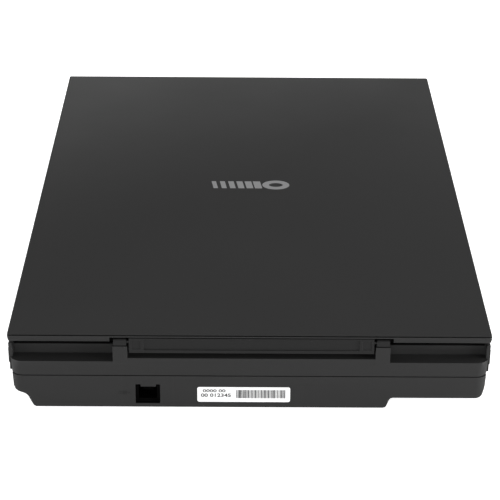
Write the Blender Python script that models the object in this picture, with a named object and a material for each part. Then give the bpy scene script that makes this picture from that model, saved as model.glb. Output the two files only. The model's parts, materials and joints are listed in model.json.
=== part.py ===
"""A slim flatbed scanner with a lid on rising hinge arms, modelled as its separate pieces.

Metres, +Z up. The origin is the middle of the resting plane. The front edge, with the buttons,
faces -Y; the hinges and the cable port are at +Y. "Left" is +X, as seen from behind.
"""

import math

import bmesh
import bpy
from mathutils import Matrix, Vector

MM = 0.001
GAP = 0.3

# Driving dimensions, in millimetres.
WIDTH = 250.0
DEPTH = 367.0
HEIGHT = 44.0
SEAM_Z = 19.6
SEAM_HALF_GAP = 0.25
FRAME_TOP_Z = 34.0
LEDGE_Z = 28.0
LEDGE_FRONT_Y = 174.0
CENTRE_LEDGE_Z = 30.0
BELLY_Z = 0.8
SHELF_Z = 6.9
WALL = 2.0
CORNER_RADIUS = 6.0

# Planes outside the scanner, for cutters that run right through.
BEYOND_X = 130.0
BEYOND_Y = 190.0
BEYOND_Z = 40.0

# Housing plan: half width, front and rear faces. A shell stands out above each grip strip.
BASE_HALF_X = 124.0
SHELL_IN_X = 122.9
SHELL_FRONT_Y = -178.0
SHELL_REAR_Y = 178.4
SHELL_LOW_Z = 24.5
STRIP_HALF_Y = 178.0
STRIP_LOW_Z = 20.1
STRIP_TOP_Z = 24.3
BASE_FRONT_Y = -182.3
BASE_REAR_Y = 183.2

# Hinge. Its parts are set out about a middle that lies a little towards -X.
HINGE_X = -1.0
TOWER_IN_X = 64.1
TOWER_OUT_X = 71.6
TOWER_TOP_Z = 36.9
ARM_IN_X = 65.4
ARM_OUT_X = 70.3
HEAD_IN_X = 64.5
HEAD_OUT_X = 71.2
ARM_FRONT_Y = 175.7
ARM_REAR_Y = 180.7
ARM_FOOT_Z = 9.0
PIVOT_Y = 181.3
PIVOT_Z = 38.9
PIN_RADIUS = 0.9
BORE_RADIUS = 1.15
PIN_IN_X = 56.6
PIN_OUT_X = 70.6
BAR_HALF_X = 63.1
BAR_LOW_Z = 33.0

# Lid.
LID_HALF_X = 124.7
RIM_BOTTOM_Z = 39.7
RIM_WIDEST_Z = 42.2
SKIN_UNDERSIDE_Z = 42.4
TRAY_HALF_X = 117.5
TRAY_FRONT_Y = -175.5
TRAY_REAR_Y = 172.0
PAD_HALF_X = 112.0
PAD_FRONT_Y = -169.0
PAD_REAR_Y = 161.0

# Glass and scan window.
GLASS_HALF_X = 113.0
GLASS_FRONT_Y = -170.0
GLASS_REAR_Y = 160.0
GLASS_BOTTOM_Z = 31.0
GLASS_TOP_Z = 33.8
WINDOW_INSET = 3.0

# Scanning unit, at its home place by the front.
HOME_Y = -156.0
TRAVEL_Y = 300.0
BAR_X = 108.0
BAR_HALF_Y = 8.0
TRAY_FLOOR_Z = 17.2
SHAFT_X = 0.0
SHAFT_Z = 9.0
SHAFT_RADIUS = 3.0

# Drive: a pinion on a fixed rack, turned through a wheel by the motor gear.
RACK_MODULE = 1.0
PINION_TEETH = 12
WHEEL_MODULE = 0.6
WHEEL_TEETH = 44
MOTOR_TEETH = 12
PRESSURE_ANGLE = math.radians(20)
DRIVE_X = 22.0
DRIVE_PLATE_Z = 12.2
PLATE_THICK = 1.2
MOTOR_RADIUS = 9.0

# Port, feet, screws and buttons.
PORT_LEFT_X = 59.3
PORT_RIGHT_X = 46.5
PORT_HANGING_LEFT_X = 56.6
PORT_HANGING_RIGHT_X = 48.6
PORT_BOTTOM_Z = 2.9
PORT_TOP_Z = 14.2
PORT_HANGING_Z = 12.9
PORT_PANEL_LEFT_X = 66.0
PORT_PANEL_RIGHT_X = 40.0
PORT_PANEL_LOW_Z = 2.2
SCREW_X = 113.0
SCREW_YS = (-175.0, 166.0)
SCREW_HEAD_RADIUS = 2.9
SCREW_SHANK_RADIUS = 1.5
SCREW_HOLE_RADIUS = 1.8
POST_RADIUS = 4.2
UPPER_POST_RADIUS = 3.3
FOOT_RADIUS = 6.0
LABEL_LEFT_X = 27.1
LABEL_RIGHT_X = -21.3
LABEL_LOW_Z = 4.0
LABEL_TOP_Z = 12.9
BUTTON_XS = (-98.0, -80.0, -62.0, -44.0)
BUTTON_Z = 27.0
BUTTON_HALF_X = 4.7
BUTTON_HALF_Z = 2.2


def clear_scene():
    for old in list(bpy.data.objects):
        bpy.data.objects.remove(old)


def material(name, colour, rough, metal=0.0, clear=0.0):
    """A plain Principled finish. A second call with the same name reuses it."""
    found = bpy.data.materials.get(name)
    if found:
        return found
    made = bpy.data.materials.new(name)
    made.use_nodes = True
    shader = made.node_tree.nodes["Principled BSDF"]
    shader.inputs["Base Color"].default_value = (*colour, 1.0)
    shader.inputs["Roughness"].default_value = rough
    shader.inputs["Metallic"].default_value = metal
    shader.inputs["Transmission Weight"].default_value = clear
    return made


def node(name, mesh_data, finish, at=(0.0, 0.0, 0.0)):
    """A named object whose origin is at the point given in millimetres; its mesh is in world place."""
    origin = Vector(at) * MM
    mesh_data.transform(Matrix.Translation(-origin))
    mesh_data.name = name
    made = bpy.data.objects.new(name, mesh_data)
    made.location = origin
    made.data.materials.append(finish)
    bpy.context.scene.collection.objects.link(made)
    made.data.shade_smooth()
    made.data.set_sharp_from_angle(angle=math.radians(30))
    return made


def to_mesh(bm):
    """The finished mesh of a bmesh in millimetres, faces out, in metres."""
    bmesh.ops.recalc_face_normals(bm, faces=bm.faces)
    bm.transform(Matrix.Scale(MM, 4))
    made = bpy.data.meshes.new("mesh")
    bm.to_mesh(made)
    bm.free()
    return made


def loop_of(box, radius, z, steps):
    """Points round a rounded rectangle (x0, x1, y0, y1) at height z."""
    x0, x1, y0, y1 = box
    corners = ((x1, y1, 0), (x0, y1, 90), (x0, y0, 180), (x1, y0, 270))
    points = []
    for cx, cy, turn in corners:
        ox = cx - radius if cx == x1 else cx + radius
        oy = cy - radius if cy == y1 else cy + radius
        for step in range(steps + 1):
            angle = math.radians(turn + 90.0 * step / steps)
            points.append((ox + radius * math.cos(angle), oy + radius * math.sin(angle), z))
    return points


def stacked(levels, ring=False, steps=5):
    """A closed solid through rounded rectangles, each ((x0, x1, y0, y1), radius, z).

    The first and last level are capped, unless the levels go round a frame and meet as a ring.
    """
    bm = bmesh.new()
    loops = []
    for box, radius, z in levels:
        loops.append([bm.verts.new(p) for p in loop_of(box, radius, z, steps)])
    pairs = list(zip(loops, loops[1:] + loops[:1]))
    if not ring:
        bm.faces.new(loops[0])
        bm.faces.new(loops[-1])
        pairs = pairs[:-1]
    for low, high in pairs:
        for index in range(len(low)):
            after = (index + 1) % len(low)
            bm.faces.new((low[index], low[after], high[after], high[index]))
    return to_mesh(bm)


def prism(outline, axis, low, high):
    """An outline extruded along an axis. It holds (x, y), (x, z) or (y, z) pairs, for Z, Y or X."""
    place = {
        "Z": lambda a, b, c: (a, b, c),
        "Y": lambda a, b, c: (a, c, b),
        "X": lambda a, b, c: (c, a, b),
    }[axis]
    bm = bmesh.new()
    start = [bm.verts.new(place(a, b, low)) for a, b in outline]
    end = [bm.verts.new(place(a, b, high)) for a, b in outline]
    bm.faces.new(start)
    bm.faces.new(end)
    for index in range(len(start)):
        after = (index + 1) % len(start)
        bm.faces.new((start[index], start[after], end[after], end[index]))
    return to_mesh(bm)


def block(x0, x1, y0, y1, z0, z1):
    return prism([(x0, y0), (x1, y0), (x1, y1), (x0, y1)], "Z", z0, z1)


def disc(centre, radius, sides):
    """Points round a circle."""
    a, b = centre
    turns = [2.0 * math.pi * index / sides for index in range(sides)]
    return [(a + radius * math.cos(turn), b + radius * math.sin(turn)) for turn in turns]


def rod(centre, radius, axis, low, high, sides=24):
    return prism(disc(centre, radius, sides), axis, low, high)


def turned(profile, centre, steps=24):
    """A solid of revolution about a vertical line; the profile's (radius, z) ends are on the axis."""
    bm = bmesh.new()
    cx, cy = centre
    rings = []
    for radius, z in profile:
        if radius == 0.0:
            rings.append([bm.verts.new((cx, cy, z))])
            continue
        rings.append([bm.verts.new((x, y, z)) for x, y in disc(centre, radius, steps)])
    for low, high in zip(rings, rings[1:]):
        for index in range(steps):
            after = (index + 1) % steps
            corners = [low[index % len(low)], low[after % len(low)]]
            corners += [high[after % len(high)], high[index % len(high)]]
            unique = list(dict.fromkeys(corners))
            bm.faces.new(unique)
    return to_mesh(bm)


def helper(mesh_data):
    """A hidden object that a Boolean reads."""
    made = bpy.data.objects.new("cutter", mesh_data)
    bpy.context.scene.collection.objects.link(made)
    made.hide_render = True
    made.display_type = "WIRE"
    return made


def combine(target, mesh_data, operation):
    """A live Boolean on the target, with its helper parented so that both share one place."""
    other = helper(mesh_data)
    made = target.modifiers.new(operation.lower(), "BOOLEAN")
    made.operation = operation
    made.solver = "EXACT"
    made.object = other
    return other


def cut(target, *meshes):
    for mesh_data in meshes:
        combine(target, mesh_data, "DIFFERENCE")


def add(target, *meshes):
    for mesh_data in meshes:
        combine(target, mesh_data, "UNION")


def inset(outline, distance):
    """The outline moved inwards by a distance, each corner mitred. It runs anticlockwise."""
    moved = []
    count = len(outline)
    for index in range(count):
        before = Vector(outline[index - 1])
        here = Vector(outline[index])
        after = Vector(outline[(index + 1) % count])
        first = (here - before).normalized()
        second = (after - here).normalized()
        in_first = Vector((-first.y, first.x))
        in_second = Vector((-second.y, second.x))
        bisector = (in_first + in_second).normalized()
        moved.append(tuple(here + bisector * distance / bisector.dot(in_first)))
    return moved


def housing_outline():
    """The lower housing seen from behind: a deep belly, and a raised shelf towards -X."""
    low, shelf = BELLY_Z, SHELF_Z
    return [
        (-118.4, shelf), (-75.0, shelf), (-73.8, 6.6), (-73.0, 5.6), (-71.7, 2.0), (-71.0, 1.1), (-69.8, low),
        (111.3, low), (112.5, 1.5), (113.2, 2.8), (115.2, 7.2), (116.3, 8.4), (117.6, 9.1),
        (120.6, 9.9), (121.9, 10.6), (122.7, 12.2), (123.9, SEAM_Z - SEAM_HALF_GAP),
        (-123.9, SEAM_Z - SEAM_HALF_GAP), (-122.9, 13.2), (-122.3, 10.4), (-121.5, 8.4), (-120.3, 7.3),
    ]


def lower_housing(plastic):
    """The tray that holds everything, with screw posts, shaft cradles and the cable port."""
    plan = (-BASE_HALF_X, BASE_HALF_X, BASE_FRONT_Y, BASE_REAR_Y)
    outline = housing_outline()
    body = node("lower_housing", prism(outline, "Y", BASE_FRONT_Y, BASE_REAR_Y), plastic)
    combine(body, stacked([(plan, CORNER_RADIUS, 0.0), (plan, CORNER_RADIUS, 30.0)]), "INTERSECT")
    hollow = [(x, 30.0) if z > SEAM_Z - 3.0 else (x, z) for x, z in inset(outline, WALL)]
    inner = (-BASE_HALF_X + WALL, BASE_HALF_X - WALL, BASE_FRONT_Y + WALL, BASE_REAR_Y - WALL - 0.2)
    cavity = combine(body, prism(hollow, "Y", inner[2], inner[3]), "DIFFERENCE")
    inner_radius = CORNER_RADIUS - WALL
    combine(cavity, stacked([(inner, inner_radius, -1.0), (inner, inner_radius, 31.0)]), "INTERSECT")
    for y0, y1 in ((-180.6, -173.0), (161.5, 168.0)):
        add(body, block(SHAFT_X - 5.0, SHAFT_X + 5.0, y0, y1, 1.8, SHAFT_Z + 5.0))
    cut(body, rod((SHAFT_X, SHAFT_Z), SHAFT_RADIUS + GAP, "Y", -178.4, 167.0))
    for x in (-SCREW_X, SCREW_X):
        for y in SCREW_YS:
            foot = 8.0 if x < 0.0 else 4.0
            add(body, rod((x, y), POST_RADIUS, "Z", foot, 23.8, 20))
            cut(body, rod((x, y), SCREW_HEAD_RADIUS + GAP, "Z", -1.0, 14.3, 20))
            cut(body, rod((x, y), SCREW_HOLE_RADIUS, "Z", 13.0, 24.5, 16))
    trim = [(x, 30.0) if z > SEAM_Z - 3.0 else (x, z) for x, z in inset(outline, -0.05)]
    combine(body, prism(trim, "Y", BASE_FRONT_Y - 5.0, BASE_REAR_Y + 5.0), "INTERSECT")
    left, right, low = PORT_PANEL_LEFT_X + GAP, PORT_PANEL_RIGHT_X - GAP, PORT_PANEL_LOW_Z - GAP
    cut(body, block(right, left, 180.0, BEYOND_Y, low, 30.0))
    left, right = LABEL_LEFT_X + GAP, LABEL_RIGHT_X - GAP
    cut(body, block(right, left, BASE_REAR_Y - 0.5, BEYOND_Y, LABEL_LOW_Z - GAP, LABEL_TOP_Z + GAP))
    for x, y in foot_places():
        cut(body, rod((x, y), FOOT_RADIUS + GAP, "Z", -1.0, 1.5, 28))
    return body


def port_panel(plastic):
    """The plate in the rear wall with the cable port's opening, whose top edge hangs lower in the middle."""
    low, hanging, top = PORT_BOTTOM_Z, PORT_HANGING_Z, PORT_TOP_Z
    left, right = PORT_LEFT_X, PORT_RIGHT_X
    outline = [(right, low), (left, low), (left, top), (PORT_HANGING_LEFT_X, top), (PORT_HANGING_LEFT_X, hanging)]
    outline += [(PORT_HANGING_RIGHT_X, hanging), (PORT_HANGING_RIGHT_X, top), (right, top)]
    panel = node(
        "port_panel",
        block(
            PORT_PANEL_RIGHT_X, PORT_PANEL_LEFT_X, BASE_REAR_Y - WALL - 0.2, BASE_REAR_Y,
            PORT_PANEL_LOW_Z, SEAM_Z - SEAM_HALF_GAP,
        ),
        plastic,
    )
    cut(panel, prism(outline, "Y", 180.0, 190.0))
    return panel


def foot_places():
    return [(98.0, 165.0), (-58.0, 165.0), (98.0, -165.0), (-58.0, -165.0)]


def upper_housing(plastic):
    """The glass frame: a ring with a rebate for the glass, a rear ledge and two hinge towers."""
    face = (-BASE_HALF_X, BASE_HALF_X, BASE_FRONT_Y, BASE_REAR_Y)
    foot = (-BASE_HALF_X + 0.3, BASE_HALF_X - 0.3, BASE_FRONT_Y + 0.3, BASE_REAR_Y - 0.1)
    rim = (-BASE_HALF_X + 0.6, BASE_HALF_X - 0.6, BASE_FRONT_Y + 0.6, BASE_REAR_Y - 0.6)
    seat = (-GLASS_HALF_X - GAP, GLASS_HALF_X + GAP, GLASS_FRONT_Y - GAP, GLASS_REAR_Y + GAP)
    window = (
        -GLASS_HALF_X + WINDOW_INSET,
        GLASS_HALF_X - WINDOW_INSET,
        GLASS_FRONT_Y + WINDOW_INSET,
        GLASS_REAR_Y - WINDOW_INSET,
    )
    rib = (-115.5, 115.5, -172.5, 162.5)
    room_x, room_y = BASE_HALF_X - WALL - 0.2, BASE_FRONT_Y + WALL
    high_room = (-room_x, room_x, room_y, LEDGE_FRONT_Y - 2.2)
    low_room = (-room_x - 0.1, room_x + 0.1, room_y - 0.1, BASE_REAR_Y - WALL - 0.2)
    seat_z, lip_z, ceiling_z, ledge_under_z = GLASS_BOTTOM_Z - GAP, 29.2, 32.0, 25.8
    levels = [
        (foot, CORNER_RADIUS, SEAM_Z + SEAM_HALF_GAP),
        (face, CORNER_RADIUS, 24.0), (face, CORNER_RADIUS, 33.4),
        (rim, CORNER_RADIUS, FRAME_TOP_Z), (seat, 1.0, FRAME_TOP_Z), (seat, 1.0, seat_z),
        (window, 1.0, seat_z), (window, 1.0, lip_z), (rib, 1.0, lip_z), (rib, 1.0, ceiling_z),
        (high_room, 6.3, ceiling_z), (high_room, 6.3, ledge_under_z),
        (low_room, 6.3, ledge_under_z), (low_room, 6.3, SEAM_Z + SEAM_HALF_GAP),
    ]
    body = node("upper_housing", stacked(levels, ring=True), plastic)
    for side in (-1.0, 1.0):
        outer_x = WIDTH / 2.0
        shell = [(SHELL_IN_X, SHELL_LOW_Z), (outer_x - 0.4, SHELL_LOW_Z), (outer_x, SHELL_LOW_Z + 0.5)]
        shell += [(outer_x, 33.1), (outer_x - 0.8, 33.9), (SHELL_IN_X, 33.9)]
        add(body, prism([(side * x, z) for x, z in shell], "Y", SHELL_FRONT_Y, SHELL_REAR_Y))
        tower = sorted((side * TOWER_IN_X + HINGE_X, side * TOWER_OUT_X + HINGE_X))
        add(body, block(*tower, LEDGE_FRONT_Y - 1.0, BASE_REAR_Y + 0.1, 27.0, TOWER_TOP_Z))
        ledge = sorted((side * TOWER_OUT_X + HINGE_X, side * SHELL_IN_X))
        cut(body, block(*ledge, LEDGE_FRONT_Y, BEYOND_Y, LEDGE_Z, BEYOND_Z))
        beyond = sorted((side * (SHELL_IN_X - 0.5), side * BEYOND_X))
        cut(body, block(*beyond, SHELL_REAR_Y, BEYOND_Y, LEDGE_Z, BEYOND_Z))
        slot = sorted((side * (ARM_IN_X - GAP) + HINGE_X, side * (ARM_OUT_X + GAP) + HINGE_X))
        cut(body, block(*slot, ARM_FRONT_Y - GAP, ARM_REAR_Y + GAP, SEAM_Z, BEYOND_Z))
        groove = sorted((side * (BASE_HALF_X - 1.0), side * BEYOND_X))
        cut(body, block(*groove, -STRIP_HALF_Y - GAP, STRIP_HALF_Y + GAP, 19.0, STRIP_TOP_Z + GAP))
    centre = (-TOWER_IN_X + HINGE_X, TOWER_IN_X + HINGE_X)
    cut(body, block(*centre, LEDGE_FRONT_Y, BEYOND_Y, CENTRE_LEDGE_Z, BEYOND_Z))
    for x in (-SCREW_X, SCREW_X):
        for y in SCREW_YS:
            add(body, rod((x, y), UPPER_POST_RADIUS, "Z", 24.2, 33.0, 20))
            cut(body, rod((x, y), SCREW_HOLE_RADIUS, "Z", 23.0, 30.6, 16))
    for x in BUTTON_XS:
        cut(body, button_block(x, GAP, -BEYOND_Y, -179.0))
    return body


def button_block(x, margin, y0, y1):
    """A block of a button's outline, larger all round by the margin."""
    half_x, half_z = BUTTON_HALF_X + margin, BUTTON_HALF_Z + margin
    return block(x - half_x, x + half_x, y0, y1, BUTTON_Z - half_z, BUTTON_Z + half_z)


def glass_parts(finishes):
    glass = (-GLASS_HALF_X, GLASS_HALF_X, GLASS_FRONT_Y, GLASS_REAR_Y)
    node("platen_glass", stacked([(glass, 1.0, GLASS_BOTTOM_Z), (glass, 1.0, GLASS_TOP_Z)]), finishes["glass"])
    node(
        "calibration_strip",
        block(-108.0, 108.0, GLASS_FRONT_Y + 3.4, GLASS_FRONT_Y + 11.0, 30.78, 30.88),
        finishes["white"],
    )


def base_small_parts(finishes):
    """Rails, label, feet, screws, guide shaft and rack."""
    for side, word in ((1.0, "left"), (-1.0, "right")):
        span = sorted((side * (BASE_HALF_X - 0.7), side * WIDTH / 2.0))
        strip = block(*span, -STRIP_HALF_Y, STRIP_HALF_Y, STRIP_LOW_Z, STRIP_TOP_Z)
        node(f"side_rail_{word}", strip, finishes["grip"])
    label = block(LABEL_RIGHT_X, LABEL_LEFT_X, BASE_REAR_Y - 0.2, BASE_REAR_Y + 0.05, LABEL_LOW_Z, LABEL_TOP_Z)
    node("serial_label", label, finishes["paper"])
    for index, (x, y) in enumerate(foot_places()):
        name = "foot_" + ("rear", "front")[index // 2] + ("_left", "_right")[index % 2]
        profile = [(0, 0.0), (FOOT_RADIUS - 0.8, 0.0), (FOOT_RADIUS, 0.6), (FOOT_RADIUS, 1.2), (0, 1.2)]
        node(name, turned(profile, (x, y), 28), finishes["rubber"])
    for side, word in ((1.0, "left"), (-1.0, "right")):
        for end, y in zip(("front", "rear"), SCREW_YS):
            head, shank = SCREW_HEAD_RADIUS, SCREW_SHANK_RADIUS
            profile = [(0, 11.8), (head - 0.3, 11.8), (head, 12.3), (head, 13.9)]
            profile += [(shank, 14.0), (shank, 29.0), (0, 30.2)]
            node(f"housing_screw_{end}_{word}", turned(profile, (side * SCREW_X, y), 16), finishes["steel"])
    node("guide_shaft", rod((SHAFT_X, SHAFT_Z), SHAFT_RADIUS, "Y", -178.0, 166.6), finishes["steel"])
    node("drive_rack", prism(rack_outline(), "Z", 3.1, 9.1), finishes["nylon"])


def rack_outline():
    """A straight rack of trapezoid teeth facing +X, with a tooth gap abreast of the pinion at rest."""
    pitch = math.pi * RACK_MODULE
    pitch_x = DRIVE_X - RACK_MODULE * PINION_TEETH / 2.0
    tip_x, root_x = pitch_x + 0.7 * RACK_MODULE, pitch_x - 1.25 * RACK_MODULE
    slope = math.tan(PRESSURE_ANGLE)
    half = pitch / 4.0 - 0.14
    first = HOME_Y - 3.5 * pitch
    count = math.ceil(TRAVEL_Y / pitch) + 7
    points = [(10.0, first - pitch), (root_x, first - pitch)]
    for tooth in range(count):
        y = first + tooth * pitch
        wide, narrow = half + slope * (pitch_x - root_x), half - slope * (tip_x - pitch_x)
        points += [(root_x, y - wide), (tip_x, y - narrow), (tip_x, y + narrow), (root_x, y + wide)]
    last = first + count * pitch
    return points + [(root_x, last), (10.0, last)]


def gear_outline(centre, teeth, module, tip, turn):
    """An involute gear's outline. tip is its addendum in modules, turn the angle of one tooth."""
    pitch_radius = module * teeth / 2.0
    base_radius = pitch_radius * math.cos(PRESSURE_ANGLE)
    tip_radius = pitch_radius + tip * module
    root_radius = pitch_radius - 1.25 * module
    half = math.pi / (2 * teeth) - 0.07 / pitch_radius + math.tan(PRESSURE_ANGLE) - PRESSURE_ANGLE
    start = max(base_radius, root_radius)
    flank = [(start + (tip_radius - start) * step / 3.0) for step in range(4)]
    side = [(root_radius, half)] if root_radius < base_radius else []
    for radius in flank:
        roll = math.acos(base_radius / radius)
        side.append((radius, half - math.tan(roll) + roll))
    points = []
    for tooth in range(teeth):
        middle = turn + 2.0 * math.pi * tooth / teeth
        both = [(r, middle - a) for r, a in side] + [(r, middle + a) for r, a in reversed(side)]
        points += [(centre[0] + r * math.cos(a), centre[1] + r * math.sin(a)) for r, a in both]
    return points


def drive_gears(finishes):
    """The wheel with its pinion, and the motor gear that turns it. Both turn about upright axes."""
    centre = (DRIVE_X, HOME_Y)
    motor = motor_centre()
    wheel = node(
        "drive_gear",
        prism(gear_outline(centre, WHEEL_TEETH, WHEEL_MODULE, 0.7, 0.0), "Z", 13.8, 16.4),
        finishes["nylon"],
        (*centre, 9.0),
    )
    pinion = prism(gear_outline(centre, PINION_TEETH, RACK_MODULE, 0.9, math.pi), "Z", 5.0, 14.5)
    add(wheel, pinion)
    cut(wheel, rod(centre, 1.35, "Z", 0.0, 20.0, 16))
    gap_turn = math.pi / MOTOR_TEETH
    small = node(
        "motor_gear",
        prism(gear_outline(motor, MOTOR_TEETH, WHEEL_MODULE, 0.9, gap_turn), "Z", 13.8, 16.6),
        finishes["brass"],
        (*motor, 15.0),
    )
    cut(small, rod(motor, 1.3, "Z", 0.0, 20.0, 16))


def motor_centre():
    return DRIVE_X + WHEEL_MODULE * (WHEEL_TEETH + MOTOR_TEETH) / 2.0, HOME_Y


def carriage_parts(finishes):
    """The frame that rides on the shaft, its bushings and the motor."""
    home = (SHAFT_X, HOME_Y, SHAFT_Z)
    y0, y1 = HOME_Y - BAR_HALF_Y, HOME_Y + BAR_HALF_Y
    frame = node("carriage_frame", block(-BAR_X, BAR_X, y0, y1, TRAY_FLOOR_Z, 24.0), finishes["frame"], home)
    cut(frame, block(-BAR_X + 1.2, BAR_X - 1.2, y0 + 1.2, y1 - 1.2, 18.4, 30.0))
    add(frame, block(-6.0, 6.0, HOME_Y - 12.0, HOME_Y + 12.0, 4.2, TRAY_FLOOR_Z + 0.6))
    plate_top = DRIVE_PLATE_Z + PLATE_THICK
    add(frame, block(5.0, 49.0, HOME_Y - 10.0, HOME_Y + 10.0, DRIVE_PLATE_Z, plate_top))
    for x in (5.6, 45.6):
        add(frame, block(x, x + 2.0, y0, y1, DRIVE_PLATE_Z + 0.4, TRAY_FLOOR_Z + 0.6))
    cut(frame, rod((SHAFT_X, SHAFT_Z), 4.6, "Y", HOME_Y - 13.0, HOME_Y + 13.0))
    cut(frame, rod((DRIVE_X, HOME_Y), 7.5, "Z", DRIVE_PLATE_Z - 1.0, plate_top + 0.2, 28))
    cut(frame, rod(motor_centre(), 1.7, "Z", DRIVE_PLATE_Z - 1.0, plate_top + 0.2, 16))
    add(frame, rod((DRIVE_X, HOME_Y), 1.0, "Z", 6.0, TRAY_FLOOR_Z + 0.6, 16))
    for word, low in (("front", HOME_Y - 11.5), ("rear", HOME_Y + 6.5)):
        ring = node(f"bushing_{word}", rod((SHAFT_X, SHAFT_Z), 4.3, "Y", low, low + 5.0), finishes["brass"], home)
        cut(ring, rod((SHAFT_X, SHAFT_Z), SHAFT_RADIUS + GAP, "Y", low - 1.0, low + 6.0))
    x, y = motor_centre()
    profile = [(0, 3.4), (8.4, 3.4), (MOTOR_RADIUS, 4.0), (MOTOR_RADIUS, 11.9), (1.0, 11.9), (1.0, 17.0), (0, 17.0)]
    node("drive_motor", turned(profile, (x, y), 28), finishes["steel"], (x, y, 8.0))


def sensor_parts(finishes):
    """The contact image sensor: its case, lenses, light guide, circuit board, glides and springs."""
    at = (0.0, HOME_Y, 25.0)
    half_x, half_y = BAR_X - 1.7, BAR_HALF_Y - 1.7
    case_low, case_top = 20.2, 29.6
    case = node(
        "sensor_housing",
        block(-half_x, half_x, HOME_Y - half_y, HOME_Y + half_y, case_low, case_top),
        finishes["frame"],
        at,
    )
    slots = (
        ("lens_array", -1.4, 1.4, 24.0, "lens"),
        ("light_guide", 2.6, 5.2, 25.0, "clear"),
    )
    for name, low, high, floor, finish in slots:
        cut(case, block(-104.5, 104.5, HOME_Y + low, HOME_Y + high, floor, 31.0))
        piece = block(
            -104.2, 104.2, HOME_Y + low + GAP, HOME_Y + high - GAP, floor + GAP, case_top - 0.1
        )
        node(name, piece, finishes[finish], at)
    cut(case, block(-104.5, 104.5, HOME_Y - 5.0, HOME_Y + 5.0, 19.0, 21.6))
    node("sensor_board", block(-104.2, 104.2, HOME_Y - 4.7, HOME_Y + 4.7, 20.2, 21.3), finishes["board"], at)
    for side, word in ((1.0, "left"), (-1.0, "right")):
        glide = block(side * 105.4 - 0.8, side * 105.4 + 0.8, HOME_Y - 5.0, HOME_Y + 5.0, 29.9, 30.7)
        node(f"glass_glide_{word}", glide, finishes["nylon"], at)
        spot = (side * 70.0, HOME_Y)
        ring = node(f"sensor_spring_{word}", rod(spot, 3.2, "Z", 18.7, 19.9, 16), finishes["steel"], (*spot, 18.7))
        cut(ring, rod(spot, 2.3, "Z", 18.0, 21.0, 16))


def electronics(finishes):
    """The rear circuit board with its cable port, the flat ribbon, and the board behind the buttons."""
    low, top = 14.7, 16.2
    outline = [(25.0, 163.0), (98.0, 163.0), (98.0, 174.6), (63.5, 174.6), (63.5, 180.5), (25.0, 180.5)]
    node("main_board", prism(outline, "Z", low, top), finishes["board"])
    node("main_chip", block(30.0, 42.0, 167.0, 179.0, top + GAP, top + 1.5), finishes["chip"])
    socket = node("usb_socket", block(45.6, 60.5, 167.0, 180.7, 3.1, 14.4), finishes["frame"])
    cut(socket, block(48.2, 57.9, 170.0, 182.0, 4.4, 12.9))
    node("ribbon_connector", block(82.5, 95.5, 165.0, 170.0, 11.4, 14.4), finishes["white"])
    node("ribbon_cable", prism(ribbon_outline(), "X", 84.0, 94.0), finishes["ribbon"])
    board = node("button_board", block(-104.0, -38.0, -178.0, -177.0, 22.0, 31.0), finishes["board"])
    for x in BUTTON_XS:
        add(board, block(x - 2.0, x + 2.0, -178.3, -177.5, BUTTON_Z - 2.0, BUTTON_Z + 2.0))
        cap = node(
            f"button_{BUTTON_XS.index(x) + 1}",
            button_block(x, 0.0, -183.3, -179.5),
            finishes["button"],
            (x, -181.0, BUTTON_Z),
        )
        add(cap, button_block(x, 1.0, -180.0, -179.2))


def ribbon_outline():
    """The flat ribbon's side view: from its connector down to the floor, along it, and up to the carriage."""
    thick, floor, turn = 0.35, 3.2, 3.6
    path = [(164.6, 12.6), (161.0, 12.6)]
    path += bend((161.0, 12.6 - turn), turn, 90.0, 180.0)
    path += bend((161.0 - 2.0 * turn, floor + turn), turn, 0.0, -90.0)
    path += bend((HOME_Y + 6.0, floor + 6.4), 6.4, 270.0, 90.0)
    path += [(HOME_Y + 12.0, floor + 12.8)]
    upper, lower = [], []
    for index, here in enumerate(path):
        ahead = Vector(path[min(index + 1, len(path) - 1)]) - Vector(path[max(index - 1, 0)])
        normal = Vector((-ahead.y, ahead.x)).normalized() * thick / 2.0
        upper.append(tuple(Vector(here) + normal))
        lower.append(tuple(Vector(here) - normal))
    return upper + lower[::-1]


def bend(centre, radius, start, stop, steps=6):
    """Points round part of a circle, its angles in degrees, in the direction given."""
    points = []
    for step in range(1, steps + 1):
        angle = math.radians(start + (stop - start) * step / steps)
        points.append((centre[0] + radius * math.cos(angle), centre[1] + radius * math.sin(angle)))
    return points


def hinge_arms(finishes):
    """The arms that rise out of the towers, each with a bored head for a hinge pin."""
    low, top = TOWER_TOP_Z + GAP, 40.9
    head = [(178.4, low), (182.9, low), (183.1, low + 0.3), (183.1, top - 0.7), (182.4, top), (178.9, top)]
    head += [(178.4, top - 0.7)]
    for side, word in ((1.0, "left"), (-1.0, "right")):
        span = sorted((side * ARM_IN_X + HINGE_X, side * ARM_OUT_X + HINGE_X))
        middle = side * (ARM_IN_X + ARM_OUT_X) / 2.0 + HINGE_X
        stem = block(*span, ARM_FRONT_Y, ARM_REAR_Y, ARM_FOOT_Z, low + 0.5)
        arm = node(f"hinge_arm_{word}", stem, finishes["frame"], (middle, PIVOT_Y, PIVOT_Z))
        span = sorted((side * HEAD_IN_X + HINGE_X, side * HEAD_OUT_X + HINGE_X))
        add(arm, prism(head, "X", *span))
        bore = sorted((side * (HEAD_IN_X - 2.0) + HINGE_X, side * (PIN_OUT_X + 0.2) + HINGE_X))
        cut(arm, rod((PIVOT_Y, PIVOT_Z), BORE_RADIUS, "X", *bore, 16))


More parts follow.
